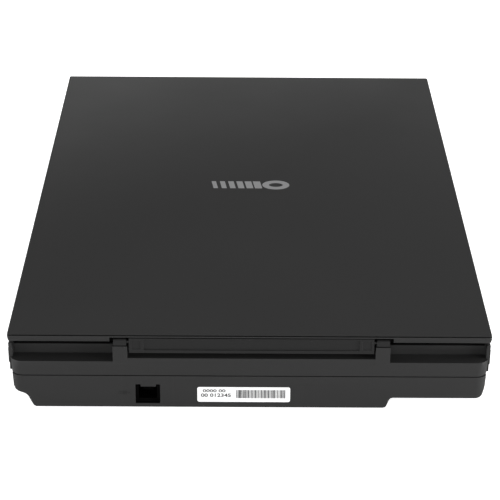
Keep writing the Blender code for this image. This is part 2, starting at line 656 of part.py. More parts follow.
def lid_parts(finishes):
    """The cover, the tray under it that holds the pad, the hinge bar and pins, and the small trim."""
    at = (0.0, PIVOT_Y, PIVOT_Z)
    half_x, half_y = LID_HALF_X, DEPTH / 2.0

    def plan(depth):
        return (-half_x + depth, half_x - depth, -half_y + depth, half_y - depth)

    levels = [
        (plan(2.4), 0.6, SKIN_UNDERSIDE_Z), (plan(2.4), 0.6, RIM_BOTTOM_Z), (plan(0.9), 1.2, RIM_BOTTOM_Z),
        (plan(0.0), 1.5, RIM_WIDEST_Z), (plan(0.35), 1.5, 43.5), (plan(0.9), 1.2, HEIGHT),
    ]
    cover = node("lid_cover", stacked(levels, steps=4), finishes["lid"], at)
    notch = TOWER_OUT_X + 1.5
    cut(cover, block(-notch + HINGE_X, notch + HINGE_X, 180.0, BEYOND_Y, RIM_BOTTOM_Z - 1.0, SKIN_UNDERSIDE_Z))
    emblem = (-25.0, 25.0, -8.3, 3.7)
    wider = (emblem[0] - GAP, emblem[1] + GAP, emblem[2] - GAP, emblem[3] + GAP)
    cut(cover, stacked([(wider, 5.9, HEIGHT - 0.8), (wider, 5.9, HEIGHT + 1.0)]))
    node("lid_emblem", stacked([(emblem, 5.6, HEIGHT - 0.5), (emblem, 5.6, HEIGHT - 0.05)]), finishes["silver"], at)
    outer = (-TRAY_HALF_X, TRAY_HALF_X, TRAY_FRONT_Y, TRAY_REAR_Y)
    inner = (outer[0] + 1.6, outer[1] - 1.6, outer[2] + 1.6, outer[3] - 1.6)
    pad = (-PAD_HALF_X, PAD_HALF_X, PAD_FRONT_Y, PAD_REAR_Y)
    recess = (pad[0] - 0.6, pad[1] + 0.6, pad[2] - 0.6, pad[3] + 0.6)
    levels = [
        (recess, 2.0, 37.7), (recess, 2.0, 34.7), (outer, 4.0, 34.7), (outer, 4.0, 42.1),
        (inner, 3.0, 42.1), (inner, 3.0, 39.3),
    ]
    tray = node("lid_tray", stacked(levels), finishes["frame"], at)
    for side, word in ((1.0, "left"), (-1.0, "right")):
        spot = (side * 108.0, -172.4)
        cut(tray, rod(spot, 2.3, "Z", 33.0, 36.4, 16))
        bumper = turned([(0, 34.3), (1.5, 34.3), (2.0, 34.8), (2.0, 36.1), (0, 36.1)], spot, 16)
        node(f"lid_bumper_{word}", bumper, finishes["rubber"], at)
    node("foam_pad", stacked([(pad, 2.0, 35.3), (pad, 2.0, 37.4)]), finishes["foam"], at)
    node("white_sheet", stacked([(pad, 2.0, 34.4), (pad, 2.0, 35.0)]), finishes["white"], at)
    hinge_bar(finishes, at)


def hinge_bar(finishes, at):
    """The bar between the towers that carries the lid, with a recessed panel and a bore at each end."""
    low, top, panel_x = BAR_LOW_Z, 41.7, 55.6
    outline = [(176.3, low), (183.1, low), (183.1, top), (172.4, top), (172.4, 36.5), (174.4, 36.5), (174.4, 35.3)]
    bar = node("hinge_bar", prism(outline, "X", -BAR_HALF_X + HINGE_X, BAR_HALF_X + HINGE_X), finishes["frame"], at)
    cut(bar, block(-panel_x + HINGE_X, panel_x + HINGE_X, 182.4, BEYOND_Y, low + 1.8, top - 0.7))
    for side, word in ((1.0, "left"), (-1.0, "right")):
        pocket = sorted((side * 57.2 + HINGE_X, side * 61.8 + HINGE_X))
        cut(bar, block(*pocket, 182.7, BEYOND_Y, low + 2.3, top - 1.3))
        bore = sorted((side * (PIN_IN_X - 0.2) + HINGE_X, side * 65.0 + HINGE_X))
        cut(bar, rod((PIVOT_Y, PIVOT_Z), BORE_RADIUS, "X", *bore, 16))
        span = sorted((side * PIN_IN_X + HINGE_X, side * PIN_OUT_X + HINGE_X))
        node(f"hinge_pin_{word}", rod((PIVOT_Y, PIVOT_Z), PIN_RADIUS, "X", *span, 16), finishes["frame"], at)


def finishes_used():
    return {
        "lid": material("lid_plastic", (0.028, 0.028, 0.029), 0.42),
        "shell": material("housing_plastic", (0.026, 0.026, 0.027), 0.45),
        "frame": material("inner_plastic", (0.02, 0.02, 0.02), 0.5),
        "grip": material("grip_plastic", (0.015, 0.015, 0.015), 0.6),
        "button": material("button_plastic", (0.05, 0.05, 0.052), 0.35),
        "glass": material("clear_glass", (0.9, 0.95, 0.93), 0.03, clear=1.0),
        "clear": material("clear_acrylic", (0.9, 0.9, 0.9), 0.1, clear=1.0),
        "lens": material("lens_glass", (0.2, 0.22, 0.2), 0.15),
        "white": material("white_film", (0.85, 0.85, 0.83), 0.5),
        "paper": material("label_paper", (0.8, 0.8, 0.8), 0.5),
        "foam": material("pad_foam", (0.6, 0.6, 0.58), 0.9),
        "rubber": material("foot_rubber", (0.03, 0.03, 0.03), 0.8),
        "steel": material("bright_steel", (0.6, 0.6, 0.6), 0.3, 1.0),
        "brass": material("sintered_brass", (0.6, 0.45, 0.2), 0.4, 1.0),
        "nylon": material("white_nylon", (0.75, 0.74, 0.7), 0.45),
        "board": material("circuit_board", (0.03, 0.15, 0.06), 0.4),
        "chip": material("chip_epoxy", (0.02, 0.02, 0.02), 0.4),
        "ribbon": material("ribbon_film", (0.7, 0.72, 0.75), 0.3),
        "silver": material("emblem_silver", (0.3, 0.3, 0.3), 0.4, 0.6),
    }


def main():
    clear_scene()
    finishes = finishes_used()
    lower_housing(finishes["shell"])
    port_panel(finishes["shell"])
    upper_housing(finishes["shell"])
    glass_parts(finishes)
    base_small_parts(finishes)
    electronics(finishes)
    drive_gears(finishes)
    carriage_parts(finishes)
    sensor_parts(finishes)
    hinge_arms(finishes)
    lid_parts(finishes)


main()
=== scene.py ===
# %% [markdown]
# # A slim flatbed scanner
# This lesson dresses the working model of a flatbed scanner. The working model fixes every size and every
# joint, so nothing here moves: each step either gives a part a better finish, or puts a finer piece exactly
# where the plain one stands. The scanner is seen from behind, so +X is on the left of the picture.

# %% Load the working model
import contextlib
import json
import math

import bmesh
import bpy
from mathutils import Matrix, Vector

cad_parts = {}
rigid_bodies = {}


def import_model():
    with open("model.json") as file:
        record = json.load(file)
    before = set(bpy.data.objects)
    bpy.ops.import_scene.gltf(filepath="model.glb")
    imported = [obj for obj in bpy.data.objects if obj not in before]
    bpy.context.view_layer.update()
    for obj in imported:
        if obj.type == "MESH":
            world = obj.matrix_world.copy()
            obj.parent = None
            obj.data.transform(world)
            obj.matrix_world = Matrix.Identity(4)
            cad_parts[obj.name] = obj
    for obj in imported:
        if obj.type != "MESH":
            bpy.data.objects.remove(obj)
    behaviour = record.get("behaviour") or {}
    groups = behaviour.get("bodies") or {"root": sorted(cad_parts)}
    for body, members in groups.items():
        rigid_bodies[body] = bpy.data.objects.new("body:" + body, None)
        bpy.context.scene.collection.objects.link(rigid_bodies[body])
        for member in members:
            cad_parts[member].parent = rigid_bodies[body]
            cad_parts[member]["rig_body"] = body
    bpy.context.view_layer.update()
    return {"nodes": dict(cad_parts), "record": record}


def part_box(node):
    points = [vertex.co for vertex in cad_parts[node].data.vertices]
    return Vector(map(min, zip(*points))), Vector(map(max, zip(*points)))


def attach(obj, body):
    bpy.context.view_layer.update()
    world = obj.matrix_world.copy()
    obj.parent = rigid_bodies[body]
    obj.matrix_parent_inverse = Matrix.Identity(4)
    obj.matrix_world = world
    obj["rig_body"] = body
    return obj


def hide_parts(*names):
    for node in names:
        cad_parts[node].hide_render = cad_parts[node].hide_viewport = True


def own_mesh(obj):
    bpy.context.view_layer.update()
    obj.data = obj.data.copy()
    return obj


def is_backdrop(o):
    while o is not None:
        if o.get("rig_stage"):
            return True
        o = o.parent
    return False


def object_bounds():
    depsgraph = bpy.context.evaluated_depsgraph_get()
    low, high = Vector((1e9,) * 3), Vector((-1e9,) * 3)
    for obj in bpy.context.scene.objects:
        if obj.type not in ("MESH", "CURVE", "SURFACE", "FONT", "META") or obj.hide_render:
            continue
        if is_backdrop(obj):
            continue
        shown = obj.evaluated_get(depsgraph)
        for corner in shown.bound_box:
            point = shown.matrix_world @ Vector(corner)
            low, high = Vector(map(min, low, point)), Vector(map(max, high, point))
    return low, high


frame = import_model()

MM = 0.001

# %% [markdown]
# ## The camera
# A long lens from about a metre away keeps the sides of the lid nearly parallel, as in a catalogue. The
# camera stands behind the scanner and looks down at it by about 27 degrees. The axes are built from the
# direction of view and a small roll, so the level can be set as finely as the direction.

# %% Camera
scene = bpy.context.scene
CAMERA_PLACE = Vector((0.0049, 0.9749, 0.4899))
LOOK_DOWN, LOOK_ASIDE, ROLL = (math.radians(v) for v in (26.634, -0.3386, 0.46))
LENS_MM = 127.48

forward = Vector((
    math.sin(LOOK_ASIDE) * math.cos(LOOK_DOWN),
    -math.cos(LOOK_ASIDE) * math.cos(LOOK_DOWN),
    -math.sin(LOOK_DOWN),
))
level_right = forward.cross(Vector((0, 0, 1))).normalized()
level_up = level_right.cross(forward)
right = math.cos(ROLL) * level_right + math.sin(ROLL) * level_up
up = -math.sin(ROLL) * level_right + math.cos(ROLL) * level_up

camera = bpy.data.objects.new("camera", bpy.data.cameras.new("camera"))
scene.collection.objects.link(camera)
camera.data.lens = LENS_MM
camera.data.sensor_width = 36.0
camera.data.clip_start, camera.data.clip_end = 0.05, 20.0
camera.matrix_world = Matrix((
    (right.x, up.x, -forward.x, CAMERA_PLACE.x),
    (right.y, up.y, -forward.y, CAMERA_PLACE.y),
    (right.z, up.z, -forward.z, CAMERA_PLACE.z),
    (0, 0, 0, 1),
))
scene.camera = camera
print("camera", round(CAMERA_PLACE.length, 3), "m from the middle of the scanner's footprint")

# %% [markdown]
# ## Floor and light
# Black plastic shows its shape only by what it reflects, so the light comes from large soft panels. One hangs
# over the lid and one stands behind the camera for the rear face. A low one on the far side brightens the far
# half of the lid, and one on each side picks out the corners. The room is pure white to the eye, but only a
# third as bright to the plastic, which would look grey in a room that was white all round.

# %% Floor and light
def area_light(name, place, aim, size, power):
    """A soft rectangular lamp at a place, turned towards a point."""
    lamp = bpy.data.lights.new(name, "AREA")
    lamp.shape = "RECTANGLE"
    lamp.size, lamp.size_y = size
    lamp.energy = power
    made = bpy.data.objects.new(name, lamp)
    made.location = place
    made.rotation_euler = (Vector(aim) - Vector(place)).to_track_quat("-Z", "Y").to_euler()
    scene.collection.objects.link(made)


area_light("lamp_above", (0.0, 0.1, 1.5), (0, 0, 0), (2.2, 2.2), 12.5)
area_light("lamp_behind_camera", (0.3, 2.2, 0.6), (0, 0.1, 0.02), (2.0, 1.0), 12.5)
area_light("lamp_far", (0.0, -1.3, 0.2), (0, 0, 0.03), (2.4, 0.4), 2.0)
area_light("lamp_right", (-1.0, 0.55, 0.16), (0, 0.1, 0.02), (0.5, 0.3), 13.0)
area_light("lamp_left", (1.0, 0.5, 0.16), (0, 0.1, 0.02), (0.5, 0.3), 7.0)


def bright_to_the_eye(tree, strength, seen, felt):
    """Makes a strength socket one value for the camera and another for every other ray."""
    path = tree.nodes.new("ShaderNodeLightPath")
    chosen = tree.nodes.new("ShaderNodeMath")
    chosen.operation = "MULTIPLY_ADD"
    chosen.inputs[1].default_value = seen - felt
    chosen.inputs[2].default_value = felt
    tree.links.new(path.outputs["Is Camera Ray"], chosen.inputs[0])
    tree.links.new(chosen.outputs[0], strength)


world = bpy.data.worlds.new("studio")
scene.world = world
world.use_nodes = True
background = world.node_tree.nodes["Background"]
background.inputs["Color"].default_value = (1.0, 1.0, 1.0, 1.0)
bright_to_the_eye(world.node_tree, background.inputs["Strength"], 1.0, 0.3)
scene.view_settings.view_transform = "Standard"

floor_mesh = bpy.data.meshes.new("floor")
FLOOR_HALF = 6.0
floor_mesh.from_pydata(
    [(x * FLOOR_HALF, y * FLOOR_HALF, -0.0002) for x, y in ((-1, -1), (1, -1), (1, 1), (-1, 1))],
    [],
    [(0, 1, 2, 3)],
)
floor = bpy.data.objects.new("floor", floor_mesh)
scene.collection.objects.link(floor)
floor_finish = bpy.data.materials.new("white_floor")
floor_finish.use_nodes = True
floor_shader = floor_finish.node_tree.nodes["Principled BSDF"]
floor_shader.inputs["Base Color"].default_value = (0.93, 0.93, 0.93, 1.0)
floor_shader.inputs["Roughness"].default_value = 0.9
floor_shader.inputs["Specular IOR Level"].default_value = 0.1
floor_shader.inputs["Emission Color"].default_value = (1.0, 1.0, 1.0, 1.0)
bright_to_the_eye(floor_finish.node_tree, floor_shader.inputs["Emission Strength"], 0.8, 0.1)
floor.data.materials.append(floor_finish)
floor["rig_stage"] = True

# %% [markdown]
# ## Effects that several finishes share
# Moulded plastic is never one flat colour. Its mould was etched with a fine grain, its edges are rubbed
# lighter by hands, and dust settles on what faces up. Each effect is a node group with named inputs, built
# once, and each finish places it with its own values. A group gives back only heights, masks and colours.

# %% Helpers for node groups
def new_group(name, inputs, outputs):
    """An empty shader group whose sockets are all numbers; returns (group, input node, output node)."""
    group = bpy.data.node_groups.new(name, "ShaderNodeTree")
    for label, value in inputs:
        socket = group.interface.new_socket(name=label, in_out="INPUT", socket_type="NodeSocketFloat")
        socket.default_value = value
    for label in outputs:
        group.interface.new_socket(name=label, in_out="OUTPUT", socket_type="NodeSocketFloat")
    start = group.nodes.new("NodeGroupInput")
    end = group.nodes.new("NodeGroupOutput")
    return group, start, end


def add_node(tree, kind, links=(), **settings):
    """A node with its settings, whose inputs are given as (input name or number, value or output socket)."""
    made = tree.nodes.new(kind)
    for key, value in settings.items():
        setattr(made, key, value)
    for key, value in links:
        if isinstance(value, bpy.types.NodeSocket):
            tree.links.new(value, made.inputs[key])
        else:
            made.inputs[key].default_value = value
    return made


def maths(tree, operation, first, second=0.0, third=0.5, clamp=False):
    """The output of a Math node."""
    values = ((0, first), (1, second), (2, third))
    return add_node(tree, "ShaderNodeMath", values, operation=operation, use_clamp=clamp).outputs[0]


def own_place(tree):
    """The place on the piece, which moves with it."""
    return add_node(tree, "ShaderNodeTexCoord").outputs["Object"]


def noise(tree, place, scale, detail, rough=0.5):
    """The height of a noise texture."""
    values = (("Vector", place), ("Scale", scale), ("Detail", detail), ("Roughness", rough))
    return add_node(tree, "ShaderNodeTexNoise", values).outputs["Fac"]

# %% [markdown]
# ### Spark-eroded grain
# The mould of a scanner's lid is etched by sparks, which leave tiny rounded pits of mixed sizes. Two layers
# of noise give that: one at the pit size, and one a few times coarser that lifts and drops it a little.

# %% Grain group
def make_grain():
    group, start, end = new_group(
        "moulded_grain",
        (("Pit Size", 0.3), ("Coarse Size", 2.0), ("Coarse Share", 0.3)),
        ("Height", "Patches"),
    )
    place = own_place(group)
    pits, swell = (
        noise(group, place, maths(group, "DIVIDE", 1000.0, start.outputs[label]), detail)
        for label, detail in (("Pit Size", 2.0), ("Coarse Size", 1.0))
    )
    coarse = maths(group, "MULTIPLY", swell, start.outputs["Coarse Share"])
    group.links.new(maths(group, "ADD", pits, coarse), end.inputs["Height"])
    group.links.new(noise(group, place, 18.0, 3.0), end.inputs["Patches"])
    return group


GRAIN = make_grain()

# %% [markdown]
# ### Rubbed edges
# A rounded normal differs from the true one only near an edge, so the angle between the two makes a mask
# that needs no painting. Noise breaks it up, because hands don't rub an edge evenly.

# %% Edge wear group
def make_wear():
    group, start, end = new_group("rubbed_edges", (("Width", 0.0004), ("Amount", 0.5)), ("Mask",))
    rounded = add_node(group, "ShaderNodeBevel", (("Radius", start.outputs["Width"]),), samples=4)
    true = add_node(group, "ShaderNodeNewGeometry").outputs["Normal"]
    same = add_node(
        group, "ShaderNodeVectorMath", ((0, rounded.outputs["Normal"]), (1, true)), operation="DOT_PRODUCT"
    ).outputs["Value"]
    edge = maths(group, "MULTIPLY", maths(group, "SUBTRACT", 1.0, same), 5.0, clamp=True)
    broken = maths(group, "MULTIPLY", edge, noise(group, own_place(group), 160.0, 4.0))
    group.links.new(maths(group, "MULTIPLY", broken, start.outputs["Amount"], clamp=True), end.inputs["Mask"])
    return group


WEAR = make_wear()

# %% [markdown]
# ### Dust
# Dust lies on what faces up, thinner where the surface tilts, in faint clouds.

# %% Dust group
def make_dust():
    group, start, end = new_group("settled_dust", (("Amount", 0.1),), ("Mask",))
    normal = add_node(group, "ShaderNodeNewGeometry").outputs["Normal"]
    upward = add_node(group, "ShaderNodeSeparateXYZ", ((0, normal),)).outputs["Z"]
    facing = maths(group, "POWER", maths(group, "MAXIMUM", upward, 0.0), 3.0)
    mask = maths(group, "MULTIPLY", facing, noise(group, own_place(group), 9.0, 6.0, 0.7))
    group.links.new(maths(group, "MULTIPLY", mask, start.outputs["Amount"], clamp=True), end.inputs["Mask"])
    return group


DUST = make_dust()
print("shader groups:", [g.name for g in (GRAIN, WEAR, DUST)])

# %% [markdown]
# ## Finishes
# Every finish is one Principled shader. What varies over the surface comes from the groups; what is the same
# all over, such as the sheen of a lacquer, is set on the shader's own socket.

# %% Moulded plastic and rubber
FINISH = {}


def start_material(name):
    """The node tree and the Principled shader of a new material, which FINISH then lists by name."""
    made = bpy.data.materials.new(name)
    made.use_nodes = True
    FINISH[name] = made
    return made.node_tree, made.node_tree.nodes["Principled BSDF"]


def add_bump(tree, shader, height, strength, distance):
    """Feeds a height to the shader's normal."""
    bump = add_node(tree, "ShaderNodeBump", (("Height", height), ("Strength", strength), ("Distance", distance)))
    tree.links.new(bump.outputs["Normal"], shader.inputs["Normal"])


def blend_colours(tree, factor, first, second):
    """The output of a colour mix; each colour is a tuple or a socket."""
    mix = tree.nodes.new("ShaderNodeMix")
    mix.data_type = "RGBA"
    for index, value in ((0, factor), (6, first), (7, second)):
        if isinstance(value, bpy.types.NodeSocket):
            tree.links.new(value, mix.inputs[index])
        else:
            mix.inputs[index].default_value = value
    return mix.outputs[2]


def grey(value, warm=0.0):
    return (value * (1.0 + warm), value, value * (1.0 - warm))


def shade(colour, factor=1.0, lift=0.0):
    """A colour made darker or lighter, as a shader's socket takes it."""
    return (*(c * factor + lift for c in colour), 1.0)


def vary_roughness(tree, shader, mask, spread, least, less=None):
    """Lets a mask raise the roughness from its least value by the spread; less lowers it where it is given."""
    varied = maths(tree, "MULTIPLY_ADD", mask, spread, least)
    if less is not None:
        varied = maths(tree, "ADD", varied, less, clamp=True)
    tree.links.new(varied, shader.inputs["Roughness"])


def plastic(name, colour, rough, pit=0.3, depth=0.02, wear=0.5, dust=0.02, gloss=0.5, spread=0.1):
    """A grained moulding. pit is the grain's size and depth its height, both in millimetres."""
    tree, shader = start_material(name)
    grain = add_node(tree, "ShaderNodeGroup", (("Pit Size", pit), ("Coarse Size", pit * 6.0)), node_tree=GRAIN)
    rub = add_node(tree, "ShaderNodeGroup", (("Amount", wear),), node_tree=WEAR).outputs["Mask"]
    film = add_node(tree, "ShaderNodeGroup", (("Amount", dust),), node_tree=DUST).outputs["Mask"]
    patches = grain.outputs["Patches"]
    base = blend_colours(tree, patches, shade(colour, 0.9), shade(colour, 1.1))
    rubbed = blend_colours(tree, rub, base, shade(colour, 2.4, 0.012))
    tree.links.new(blend_colours(tree, film, rubbed, (0.4, 0.39, 0.37, 1.0)), shader.inputs["Base Color"])
    vary_roughness(tree, shader, patches, spread, rough - spread / 2.0, maths(tree, "MULTIPLY", rub, -0.12))
    shader.inputs["Specular IOR Level"].default_value = gloss
    add_bump(tree, shader, grain.outputs["Height"], 0.6, depth * MM)


plastic("lid_plastic", grey(0.012), 0.5, pit=0.35, depth=0.03, wear=0.3, dust=0.01, gloss=0.28)
plastic("housing_plastic", grey(0.013), 0.52, depth=0.03, wear=0.4, dust=0.01, gloss=0.28)
plastic("inner_plastic", grey(0.012), 0.48, pit=0.25, dust=0.01, gloss=0.3)
plastic("grip_plastic", grey(0.007), 0.62, pit=0.5, depth=0.05, gloss=0.3)
plastic("button_plastic", grey(0.035), 0.34, pit=0.2, depth=0.01)
plastic("foot_rubber", grey(0.02, 0.02), 0.8, pit=0.6, depth=0.06, wear=0.2, dust=0.1, gloss=0.3)
plastic("white_nylon", grey(0.7, 0.03), 0.42, pit=0.4, depth=0.01, wear=0.1)
plastic("white_film", grey(0.82, 0.01), 0.55, pit=0.5, depth=0.004, wear=0.05)
# The port's tongue is black plastic; it and the socket are made almost unreflective, which paints the shade deep in
# the hole.
plastic("port_black", grey(0.001), 0.7, wear=0.0, dust=0.0, gloss=0.04)
plastic("bar_plastic", grey(0.008), 0.5, pit=0.25, dust=0.01, gloss=0.22)
# A near-black, almost unreflective finish for the strips, band and lining set in the gaps and in the port: painted
# shade where only shade falls.
plastic("groove_black", grey(0.001), 0.8, wear=0.0, dust=0.0, gloss=0.05)
print("plastics:", len(FINISH))

# %% [markdown]
# ### Metals
# Drawn steel carries fine lines along the direction in which it was pulled. Stretching a noise along one
# axis makes those lines, and they change the roughness more than the colour.

# %% Metals
def metal(name, colour, rough, stretch, depth=0.003, wear=0.2):
    """A bare metal with fine lines; stretch gives the noise's scale along x, y and z."""
    tree, shader = start_material(name)
    drawn = add_node(tree, "ShaderNodeMapping", (("Vector", own_place(tree)), ("Scale", stretch))).outputs["Vector"]
    lines = noise(tree, drawn, 1.0, 4.0)
    rub = add_node(tree, "ShaderNodeGroup", (("Amount", wear),), node_tree=WEAR).outputs["Mask"]
    shaded = blend_colours(tree, lines, shade(colour, 0.8), shade(colour))
    brightest = tuple(min(1.0, c) for c in shade(colour, 1.3))
    tree.links.new(blend_colours(tree, rub, shaded, brightest), shader.inputs["Base Color"])
    vary_roughness(tree, shader, lines, 0.2, rough - 0.1)
    shader.inputs["Metallic"].default_value = 1.0
    add_bump(tree, shader, lines, 0.4, depth * MM)


metal("bright_steel", (0.62, 0.62, 0.63), 0.3, (3000.0, 90.0, 3000.0))
metal("sintered_brass", (0.55, 0.42, 0.22), 0.45, (1500.0, 1500.0, 1500.0), 0.02)
metal("emblem_silver", (0.5, 0.5, 0.505), 0.5, (300.0, 4000.0, 4000.0), 0.002)
metal("gold_contact", (0.85, 0.62, 0.25), 0.25, (3000.0, 200.0, 3000.0))

# %% [markdown]
# ### Glass, film, foam and circuit board
# Clear parts keep a plain shader, because their look is all in how they bend and reflect light. The foam is
# full of small cells, the board shows its copper tracks faintly under the green mask, and the flat cable has
# a grey stripe for each of its wires.

# %% Clear parts
def clear(name, colour, rough, ior):
    """A clear solid with faint smears on it."""
    tree, shader = start_material(name)
    vary_roughness(tree, shader, noise(tree, own_place(tree), 25.0, 5.0), 0.04, rough)
    shader.inputs["Base Color"].default_value = shade(colour)
    shader.inputs["Transmission Weight"].default_value = 1.0
    shader.inputs["IOR"].default_value = ior


clear("clear_glass", (0.93, 0.97, 0.95), 0.0, 1.5)
clear("clear_acrylic", (0.95, 0.95, 0.95), 0.12, 1.49)
clear("lens_glass", (0.25, 0.28, 0.26), 0.08, 1.6)


# %% Foam, paper, board, chip and flat cable
def cellular(name, colour, rough, cell, depth):
    """A soft surface of small cells; cell and depth in millimetres."""
    tree, shader = start_material(name)
    place = own_place(tree)
    cells = add_node(tree, "ShaderNodeTexVoronoi", (("Vector", place), ("Scale", 1000.0 / cell)))
    cells = cells.outputs["Distance"]
    tone = blend_colours(tree, noise(tree, place, 40.0, 4.0), shade(colour, 0.88), shade(colour))
    pitted = blend_colours(tree, maths(tree, "MULTIPLY", cells, 0.3), tone, (0.3, 0.3, 0.29, 1.0))
    tree.links.new(pitted, shader.inputs["Base Color"])
    shader.inputs["Roughness"].default_value = rough
    shader.inputs["Sheen Weight"].default_value = 0.3
    add_bump(tree, shader, cells, 0.8, depth * MM)


def striped(name, first, second, pitch, share, direction, rough, depth=0.02):
    """Stripes of two colours; pitch in millimetres, share of the first, direction 0 for X or 1 for Y."""
    tree, shader = start_material(name)
    place = own_place(tree)
    along = add_node(tree, "ShaderNodeSeparateXYZ", ((0, place),)).outputs[direction]
    phase = maths(tree, "FRACT", maths(tree, "MULTIPLY", along, 1000.0 / pitch))
    stripe = maths(tree, "LESS_THAN", phase, share)
    cloud = noise(tree, place, 60.0, 3.0)
    pair = blend_colours(tree, stripe, shade(second), shade(first))
    dulled = blend_colours(tree, maths(tree, "MULTIPLY", cloud, 0.4), pair, shade(first, 0.85))
    tree.links.new(dulled, shader.inputs["Base Color"])
    vary_roughness(tree, shader, cloud, 0.2, rough)
    add_bump(tree, shader, stripe, 0.5, depth * MM)


cellular("pad_foam", (0.62, 0.62, 0.6), 0.95, 0.5, 0.15)
plastic("label_paper", grey(0.8), 0.5, pit=0.4, depth=0.004, wear=0.05)
plastic("label_ink", grey(0.03), 0.5, pit=0.15, depth=0.003, wear=0.0)
plastic("print_white", grey(0.6), 0.5, pit=0.15, depth=0.003, wear=0.2)
plastic("chip_epoxy", grey(0.012), 0.4, pit=0.2, depth=0.01)
striped("circuit_board", (0.012, 0.1, 0.04), (0.02, 0.15, 0.06), 1.27, 0.55, 0, 0.3)
striped("ribbon_film", (0.75, 0.77, 0.8), (0.45, 0.47, 0.5), 1.0, 0.5, 0, 0.28)
print("finishes:", len(FINISH))

# %% [markdown]
# ## Making pieces
# A part of the working model has knife-sharp edges, which no moulding has. Where its shape is right, the
# quickest way to a better one is a copy of its mesh with its loose triangles joined, its flat areas cleaned
# and its edges rounded by a Bevel modifier. The copy then stands for the plain part.

# %% Helpers for pieces
slot_of = {entry["node"]: entry["material_slot"] for entry in frame["record"]["subparts"]}


def body_of_node(node):
    return frame["nodes"][node]["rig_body"]


def smooth(obj, degrees=32.0):
    """Round faces shaded smooth, with creases left sharp."""
    obj.data.shade_smooth()
    obj.data.set_sharp_from_angle(angle=math.radians(degrees))


def settle(obj, body, finish, stands_for=()):
    """Gives a finished piece its finish, its body and the plain parts that it stands for."""
    obj.data.materials.clear()
    obj.data.materials.append(FINISH[finish])
    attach(obj, body)
    if stands_for:
        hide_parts(*stands_for)
    return obj


@contextlib.contextmanager
def editing(data):
    """A bmesh of a mesh, written back to the mesh at the end of the block."""
    bm = bmesh.new()
    bm.from_mesh(data)
    yield bm
    bm.to_mesh(data)
    bm.free()


def object_from(bm, name):
    """A mesh object from a bmesh drawn in millimetres, its faces turned out."""
    bmesh.ops.recalc_face_normals(bm, faces=bm.faces)
    bm.transform(Matrix.Scale(MM, 4))
    data = bpy.data.meshes.new(name)
    bm.to_mesh(data)
    bm.free()
    made = bpy.data.objects.new(name, data)
    scene.collection.objects.link(made)
    return made


SHARP_FROM = 30.0


def round_edges(obj, width, segments=3, keep=None):
    """A live Bevel, its width in millimetres, on every edge that turns by more than SHARP_FROM degrees.

    keep, where given, says of an edge's middle point whether the edge stays sharp.
    """
    with editing(obj.data) as bm:
        weight = bm.edges.layers.float.new("bevel_weight_edge")
        for edge in bm.edges:
            turns = len(edge.link_faces) == 2 and edge.calc_face_angle(0.0) > math.radians(SHARP_FROM)
            middle = (edge.verts[0].co + edge.verts[1].co) / (2.0 * MM)
            edge[weight] = 1.0 if turns and not (keep and keep(middle)) else 0.0
    bevel = obj.modifiers.new("rounded_edges", "BEVEL")
    bevel.width = width * MM
    bevel.segments = segments
    bevel.limit_method = "WEIGHT"
    bevel.use_clamp_overlap = True
    bevel.harden_normals = True


def finer(node, width, finish=None, segments=3, keep=None):
    """A copy of a plain part with rounded edges, standing for it."""
    data = frame["nodes"][node].data.copy()
    with editing(data) as bm:
        bmesh.ops.remove_doubles(bm, verts=bm.verts, dist=0.000002)
        bmesh.ops.dissolve_limit(bm, angle_limit=math.radians(0.5), verts=bm.verts, edges=bm.edges)
    made = bpy.data.objects.new(node + "_piece", data)
    scene.collection.objects.link(made)
    smooth(made)
    round_edges(made, width, segments, keep=keep)
    return settle(made, body_of_node(node), finish or slot_of[node], (node,))


def baked(obj):
    """The object's evaluated shape as a plain mesh, with no modifiers left."""
    graph = bpy.context.evaluated_depsgraph_get()
    data = bpy.data.meshes.new_from_object(obj.evaluated_get(graph), depsgraph=graph)
    obj.modifiers.clear()
    if obj.type == "MESH":
        obj.data = data
        return obj
    made = bpy.data.objects.new(obj.name + "_mesh", data)
    scene.collection.objects.link(made)
    bpy.data.objects.remove(obj)
    return made


def boxes(bm, *spans):
    """Adds closed boxes, each (x0, x1, y0, y1, z0, z1) in millimetres."""
    for x0, x1, y0, y1, z0, z1 in spans:
        middle = Vector(((x0 + x1) / 2, (y0 + y1) / 2, (z0 + z1) / 2))
        size = Matrix.Diagonal((abs(x1 - x0), abs(y1 - y0), abs(z1 - z0), 1.0))
        bmesh.ops.create_cube(bm, size=1.0, matrix=Matrix.Translation(middle) @ size)
    return bm


def round_loop(bm, low, high, radius, z, steps=6):
    """A ring of vertices round a rounded rectangle between two (x, y) corners."""
    corners = ((high[0], high[1], 0), (low[0], high[1], 90), (low[0], low[1], 180), (high[0], low[1], 270))
    ring = []
    for x, y, turn in corners:
        inner_x = x - radius if x == high[0] else x + radius
        inner_y = y - radius if y == high[1] else y + radius
        for step in range(steps + 1):
            angle = math.radians(turn + 90.0 * step / steps)
            ring.append(bm.verts.new((inner_x + radius * math.cos(angle), inner_y + radius * math.sin(angle), z)))
    return ring


def prism(bm, outline, low, high):
    """A closed solid between two heights, from an outline of (x, y) points."""
    skin_between(bm, [[bm.verts.new((x, y, z)) for x, y in outline] for z in (low, high)])


def skin_between(bm, rings, capped=True):
    """Faces between neighbouring rings; capped closes the first and the last."""
    for low, high in zip(rings, rings[1:]):
        for index in range(len(low)):
            after = (index + 1) % len(low)
            bm.faces.new((low[index], low[after], high[after], high[index]))
    if capped:
        bm.faces.new(rings[0])
        bm.faces.new(rings[-1])


def rounded_levels(bm, low, high, radius, levels, least=0.05):
    """Rings through levels of (inset, z); least is the smallest corner radius."""
    return [
        round_loop(bm, (low[0] + i, low[1] + i), (high[0] - i, high[1] - i), max(radius - i, least), z)
        for i, z in levels
    ]


def slab(low, high, radius, levels, name, least=0.05):
    """A closed plate through levels of (inset, z)."""
    bm = bmesh.new()
    skin_between(bm, rounded_levels(bm, low, high, radius, levels, least))
    return object_from(bm, name)


